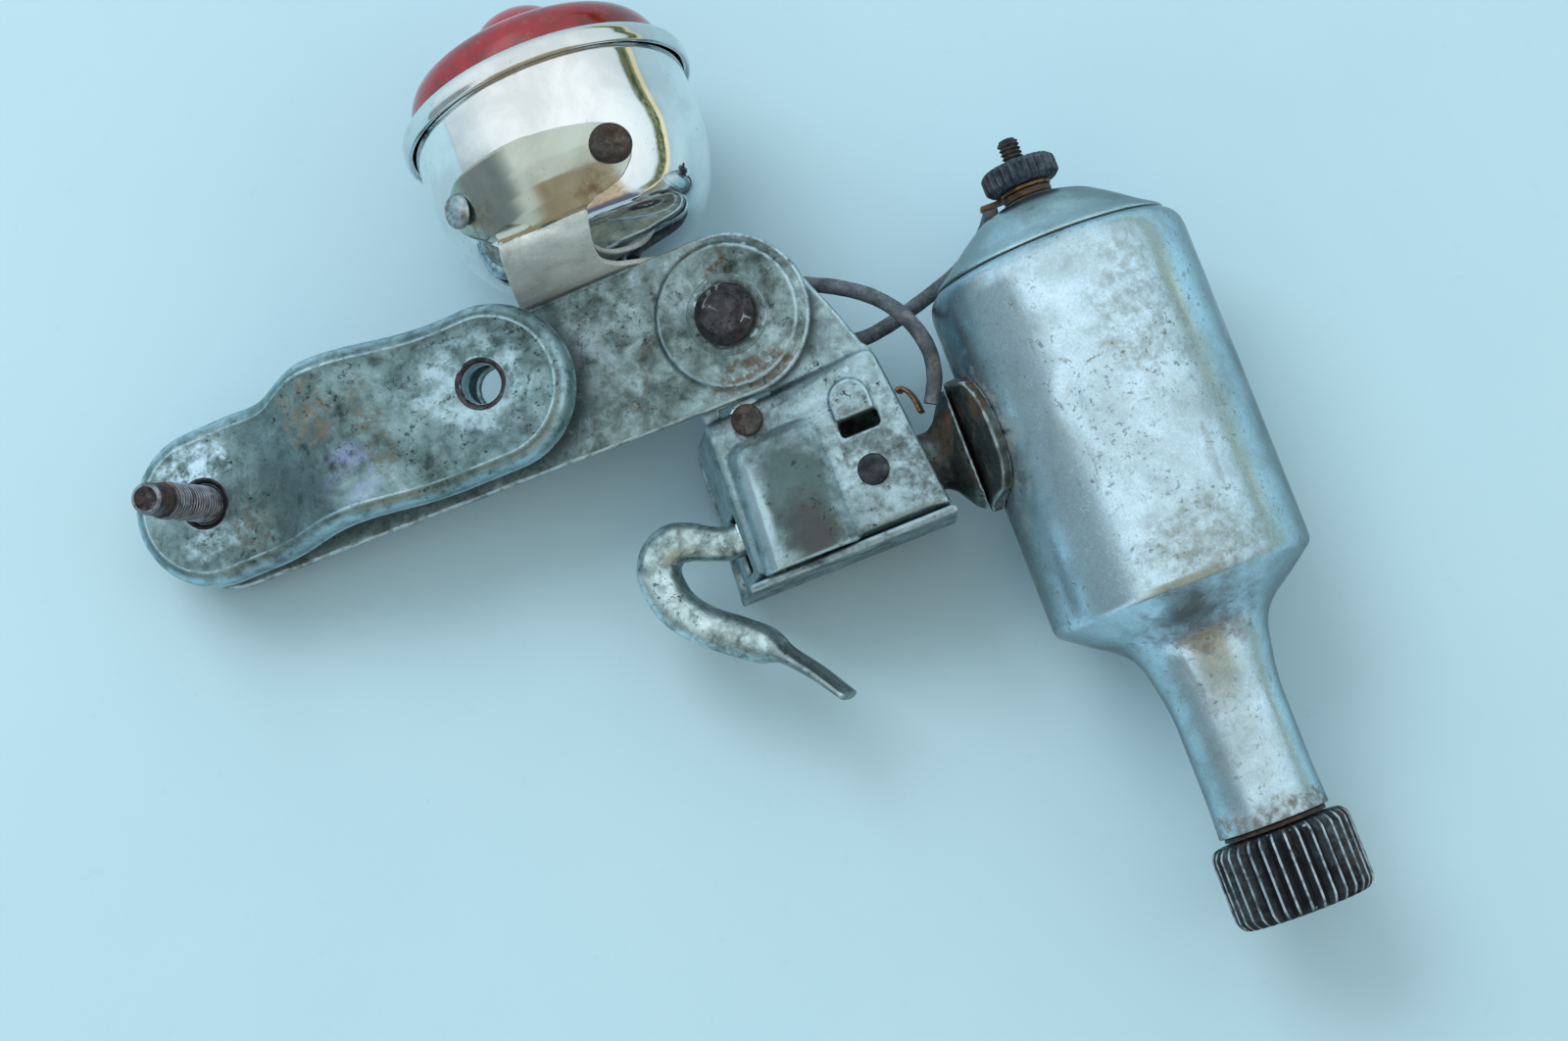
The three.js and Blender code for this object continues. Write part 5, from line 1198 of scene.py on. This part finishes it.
def dents(rr, y, a):
    """Shallow knocks in the drawn shell; a is the angle from +X towards +Z."""
    if rr < 20.7 or y > -10.5 or y < -64.8:
        return 0.0
    out = 0.0
    for a0, y0, depth, wa, wy in ((1.95, -33.5, 0.42, 0.10, 3.6), (1.45, -40.0, 0.10, 0.35, 8.0), (2.1, -52.0, 0.12, 0.22, 6.0), (0.9, -22.0, 0.10, 0.3, 6.0)):
        out -= depth * math.exp(-(((a - a0) / wa) ** 2) - ((y - y0) / wy) ** 2)
    out += 0.035 * noise.noise(Vector((math.cos(a) * 2.2, y * 0.11, math.sin(a) * 2.2)))
    return out


body = lathe("generator_body_drawn", side + NECK + inner[::-1] + [[20.35, -11.9], [20.0, -10.4], [19.4, -9.5], [18.5, -8.7]], dyn, BODY_LOOK, 224, 0.25, loop=True, sharp=40, warp=dents)
give(body, "generator", "satin_shell", "generator_body")
cap = lathe(
    "generator_cap_domed",
    [[3.2, 1.8], [3.9, 1.82, 0.3], [4.6, 1.55, 0.6], [6.6, 0.95, 1.2], [9.2, 0.05, 1.5], [13.0, -2.5, 2.0], [16.4, -5.25, 1.6], [17.8, -6.2, 1.0], [18.6, -6.75, 0.6], [19.1, -7.15, 0.3], [19.2, -7.45, 0.15], [18.9, -7.8, 0.1], [18.25, -7.9, 0], [18.2, -12, 0], [17.3, -12, 0], [17.3, -7.4, 0.5], [15.9, -6.5, 1.0], [8.9, -1.1, 1.0], [4.2, 0.5, 0.4], [3.2, 0.6, 0.1]],
    dyn, CAP_LOOK, 192, 0.4, loop=True, sharp=45)
give(cap, "generator", "satin_shell", "generator_cap")

KN = 28


def knurl(rr, y, a):
    if rr < 4.9:
        return 0.0
    t = (a * KN / (2 * pi)) % 1.0
    return -0.55 * (abs(t - 0.5) * 2) ** 0.8 * min(1, max(0, (rr - 4.9) / 0.9))


o = lathe("terminal_knurled_nut", [[1.9, 3.82], [4.7, 3.82], [5.35, 3.9], [6.15, 4.6], [6.2, 5.0], [6.2, 5.6], [6.2, 6.2], [6.2, 6.8], [6.15, 7.1], [5.35, 7.8], [4.6, 7.88], [3.4, 7.7], [1.9, 7.65]], dyn, KNURL_LOOK, KN * 10, 0.1, loop=True, sharp=35, warp=knurl)
give(o, "terminal_nut", "black_steel", "terminal_nut")
stud = threaded("terminal_threaded_stud", 1.75, 2.0, 11.5, 0.7, 0.34, dyn, RUST_LOOK, 40, tip=[(1.5, 11.6, 0), (1.25, 12.0, 0), (0.9, 12.1, 0), (0, 12.05, 0)], start=[(0, -6, 0), (1.7, -6, 0)], per=8)
nut6 = hexagon("insulated_nut", 3.4, -4.4, -2.2, dyn, RUST_LOOK)
give(join_objects(stud, nut6), "generator", "rusty_steel", "terminal_stud")

N = 34
# roller: sharp crests between V grooves that run out at both chamfers
prof = [[2.1, -104.72, 0.05], [8.2, -104.72, 0.3], [10.2, -104.85, 0.5], [10.9, -105.4, 0.3], [11.37, -106.3, 0.2]] + [[11.37, -106.9 - i * 0.76, 0] for i in range(13)] + [[11.37, -116.6, 0.2], [10.9, -117.5, 0.3], [10.2, -118.1, 0.3], [9.5, -118.2, 0.2], [6.9, -118.2, 0.2], [6.4, -117.7, 0.2], [6.35, -115.3, 0.3], [5.9, -115.0, 0.2], [2.1, -115.0, 0]]


def groove(rr, y, a):
    if rr < 8.6 or y > -104.7:
        return 0.0
    t = (a * N / (2 * pi)) % 1.0
    v = abs(t - 0.5) * 2
    depth = 1.0 * max(0.0, 1 - v / 0.86) ** 0.75
    fade = min(1, max(0, (rr - 8.6) / 2.0))
    return -depth * fade


roller = lathe("friction_roller_drum", prof, dyn, ROLLER_LOOK, N * 14, 0.15, loop=True, sharp=32, warp=groove)
give(roller, "rotor", "black_steel", "friction_roller")
shaft = lathe("rotor_shaft_pin", [[0, -118.6], [1.55, -118.6], [1.95, -118.2], [2.0, -117.9], [2.0, -13.9], [1.7, -13.6], [0, -13.6]], dyn, BRIGHT_LOOK, 48, 0.1)
give(shaft, "rotor", "bright_zinc", "rotor_shaft")

# ---------------------------------------------------------------- works inside the generator keep the frame's own shapes
for node, look in (
    ("magnet_rotor", DARK_LOOK), ("lower_bush", BRASS_LOOK), ("upper_bush", BRASS_LOOK), ("dust_washer", PHENOLIC),
    ("stator_coil", COPPER_LOOK), ("pole_lower", ZINC_LOOK), ("pole_upper", ZINC_LOOK),
):
    me = NODES[node].data
    me.materials.clear()
    me.materials.append(look)

# ---------------------------------------------------------------- table, light and sky
floor_me = bpy.data.meshes.new("table_top")
R = 1.6
gv = [(R * x, R * y, 0) for x, y in ((-1, -1), (1, -1), (1, 1), (-1, 1))]
floor_me.from_pydata(gv, [], [[0, 1, 2, 3]])
floor = bpy.data.objects.new("table_top", floor_me)
COL.objects.link(floor)
floor.location.z = -0.0001
m = Mat("table_look")
n1 = m.noise(9, 5, 0.55)
c = m.ramp(n1, [(0.3, (0.405, 0.612, 0.715, 1)), (0.7, (0.435, 0.645, 0.742, 1))])
c = m.mix(m.math("MULTIPLY", m.step(m.noise(240, 5, 0.7), 0.6, 0.72), 0.12), c, (0.31, 0.48, 0.57, 1))
floor_me.materials.append(m.done(c, m.step(m.noise(120, 4), 0.3, 0.7, 0.42, 0.58), 0.0, m.bump(m.noise(900, 4, 0.6), 0.05, 0.0001), spec=0.3))


def area_light(name, loc, target, size, power, color=(1, 1, 1), size_y=None):
    d = bpy.data.lights.new(name, "AREA")
    d.energy = power
    d.color = color
    d.shape = "RECTANGLE"
    d.size = size
    d.size_y = size_y or size
    o = bpy.data.objects.new(name, d)
    COL.objects.link(o)
    o.location = loc
    o.rotation_euler = (Vector(target) - Vector(loc)).to_track_quat("-Z", "Y").to_euler()
    return o


area_light("window_light", (-0.30, 0.75, 0.95), (0, 0, 0), 0.7, 7.0, (0.96, 0.985, 1.0), 0.5).visible_glossy = False

world = bpy.data.worlds.new("sky")
bpy.context.scene.world = world
world.use_nodes = True
nt = world.node_tree
nt.nodes.clear()
tc = nt.nodes.new("ShaderNodeTexCoord")
sep = nt.nodes.new("ShaderNodeSeparateXYZ")
nt.links.new(tc.outputs["Generated"], sep.inputs[0])


def wmath(op, a, b=0.0, c=None):
    n = nt.nodes.new("ShaderNodeMath")
    n.operation = op
    for i, v in enumerate((a, b) if c is None else (a, b, c)):
        if hasattr(v, "is_output"):
            nt.links.new(v, n.inputs[i])
        else:
            n.inputs[i].default_value = v
    return n.outputs[0]


def wstep(f, lo, hi, a=0.0, b=1.0):
    n = nt.nodes.new("ShaderNodeMapRange")
    n.interpolation_type = "SMOOTHSTEP"
    nt.links.new(f, n.inputs["Value"])
    for k, v in (("From Min", lo), ("From Max", hi), ("To Min", a), ("To Max", b)):
        n.inputs[k].default_value = v
    return n.outputs["Result"]


def wmix(f, a, b):
    n = nt.nodes.new("ShaderNodeMix")
    n.data_type = "RGBA"
    if hasattr(f, "is_output"):
        nt.links.new(f, n.inputs[0])
    else:
        n.inputs[0].default_value = f
    for i, v in ((6, a), (7, b)):
        if hasattr(v, "is_output"):
            nt.links.new(v, n.inputs[i])
        else:
            n.inputs[i].default_value = v
    return n.outputs[2]


def wnoise(scale, detail=5.0, rough=0.6, off=0.0):
    n = nt.nodes.new("ShaderNodeTexNoise")
    mp = nt.nodes.new("ShaderNodeMapping")
    nt.links.new(tc.outputs["Generated"], mp.inputs[0])
    mp.inputs["Location"].default_value = (off, off * 0.7, off * 1.3)
    nt.links.new(mp.outputs[0], n.inputs["Vector"])
    n.inputs["Scale"].default_value = scale
    n.inputs["Detail"].default_value = detail
    n.inputs["Roughness"].default_value = rough
    return n.outputs["Fac"]


X, Y, Z = sep.outputs[0], sep.outputs[1], sep.outputs[2]
big, fine = wnoise(3.2, 5, 0.6, 1.0), wnoise(16, 5, 0.65, 3.0)
sky = wmix(wstep(Z, 0.05, 0.8), (0.74, 0.90, 0.97, 1), (1.04, 1.12, 1.15, 1))
wob = wmath("MULTIPLY", wmath("SUBTRACT", big, 0.5), 0.3)
# a dull bank low down on the clamp's side
west = wmath("MULTIPLY", wstep(wmath("SUBTRACT", wob, X), 0.66, 0.80), wmath("SUBTRACT", 1.0, wstep(Y, 0.15, 0.5)))
sky = wmix(west, sky, wmix(wstep(fine, 0.4, 0.62), (0.22, 0.29, 0.33, 1), (0.36, 0.41, 0.42, 1)))
# a hedge on the horizon beyond the generator, with a sunlit strip under it
east = wmath("MULTIPLY", wstep(X, 0.45, 0.7), wmath("SUBTRACT", 1.0, wstep(wmath("ADD", Z, wmath("MULTIPLY", wob, 0.35)), 0.17, 0.25)))
sky = wmix(east, sky, wmix(wstep(fine, 0.42, 0.6), (0.07, 0.10, 0.06, 1), (0.26, 0.31, 0.17, 1)))
strip = wmath("MULTIPLY", wstep(X, 0.45, 0.7), wmath("SUBTRACT", 1.0, wstep(Z, 0.045, 0.07)))
sky = wmix(strip, sky, (0.86, 0.82, 0.56, 1))
# a dark figure at the roller's end, and tan ground rising behind it
across = wmath("SUBTRACT", 1.0, wstep(wmath("ABSOLUTE", wmath("ADD", X, wmath("MULTIPLY", wob, 0.8))), 0.42, 0.60))
south = wmath("MULTIPLY", wstep(wmath("SUBTRACT", wob, Y), 0.10, 0.24), across)
tan_c = wmix(wstep(fine, 0.42, 0.62), (0.46, 0.38, 0.26, 1), (0.66, 0.56, 0.42, 1))
sky = wmix(south, sky, wmix(wstep(Z, 0.14, 0.30), (0.13, 0.14, 0.20, 1), tan_c))
bg = nt.nodes.new("ShaderNodeBackground")
bg.inputs["Strength"].default_value = 1.0
nt.links.new(sky, bg.inputs["Color"])
out = nt.nodes.new("ShaderNodeOutputWorld")
nt.links.new(bg.outputs[0], out.inputs["Surface"])
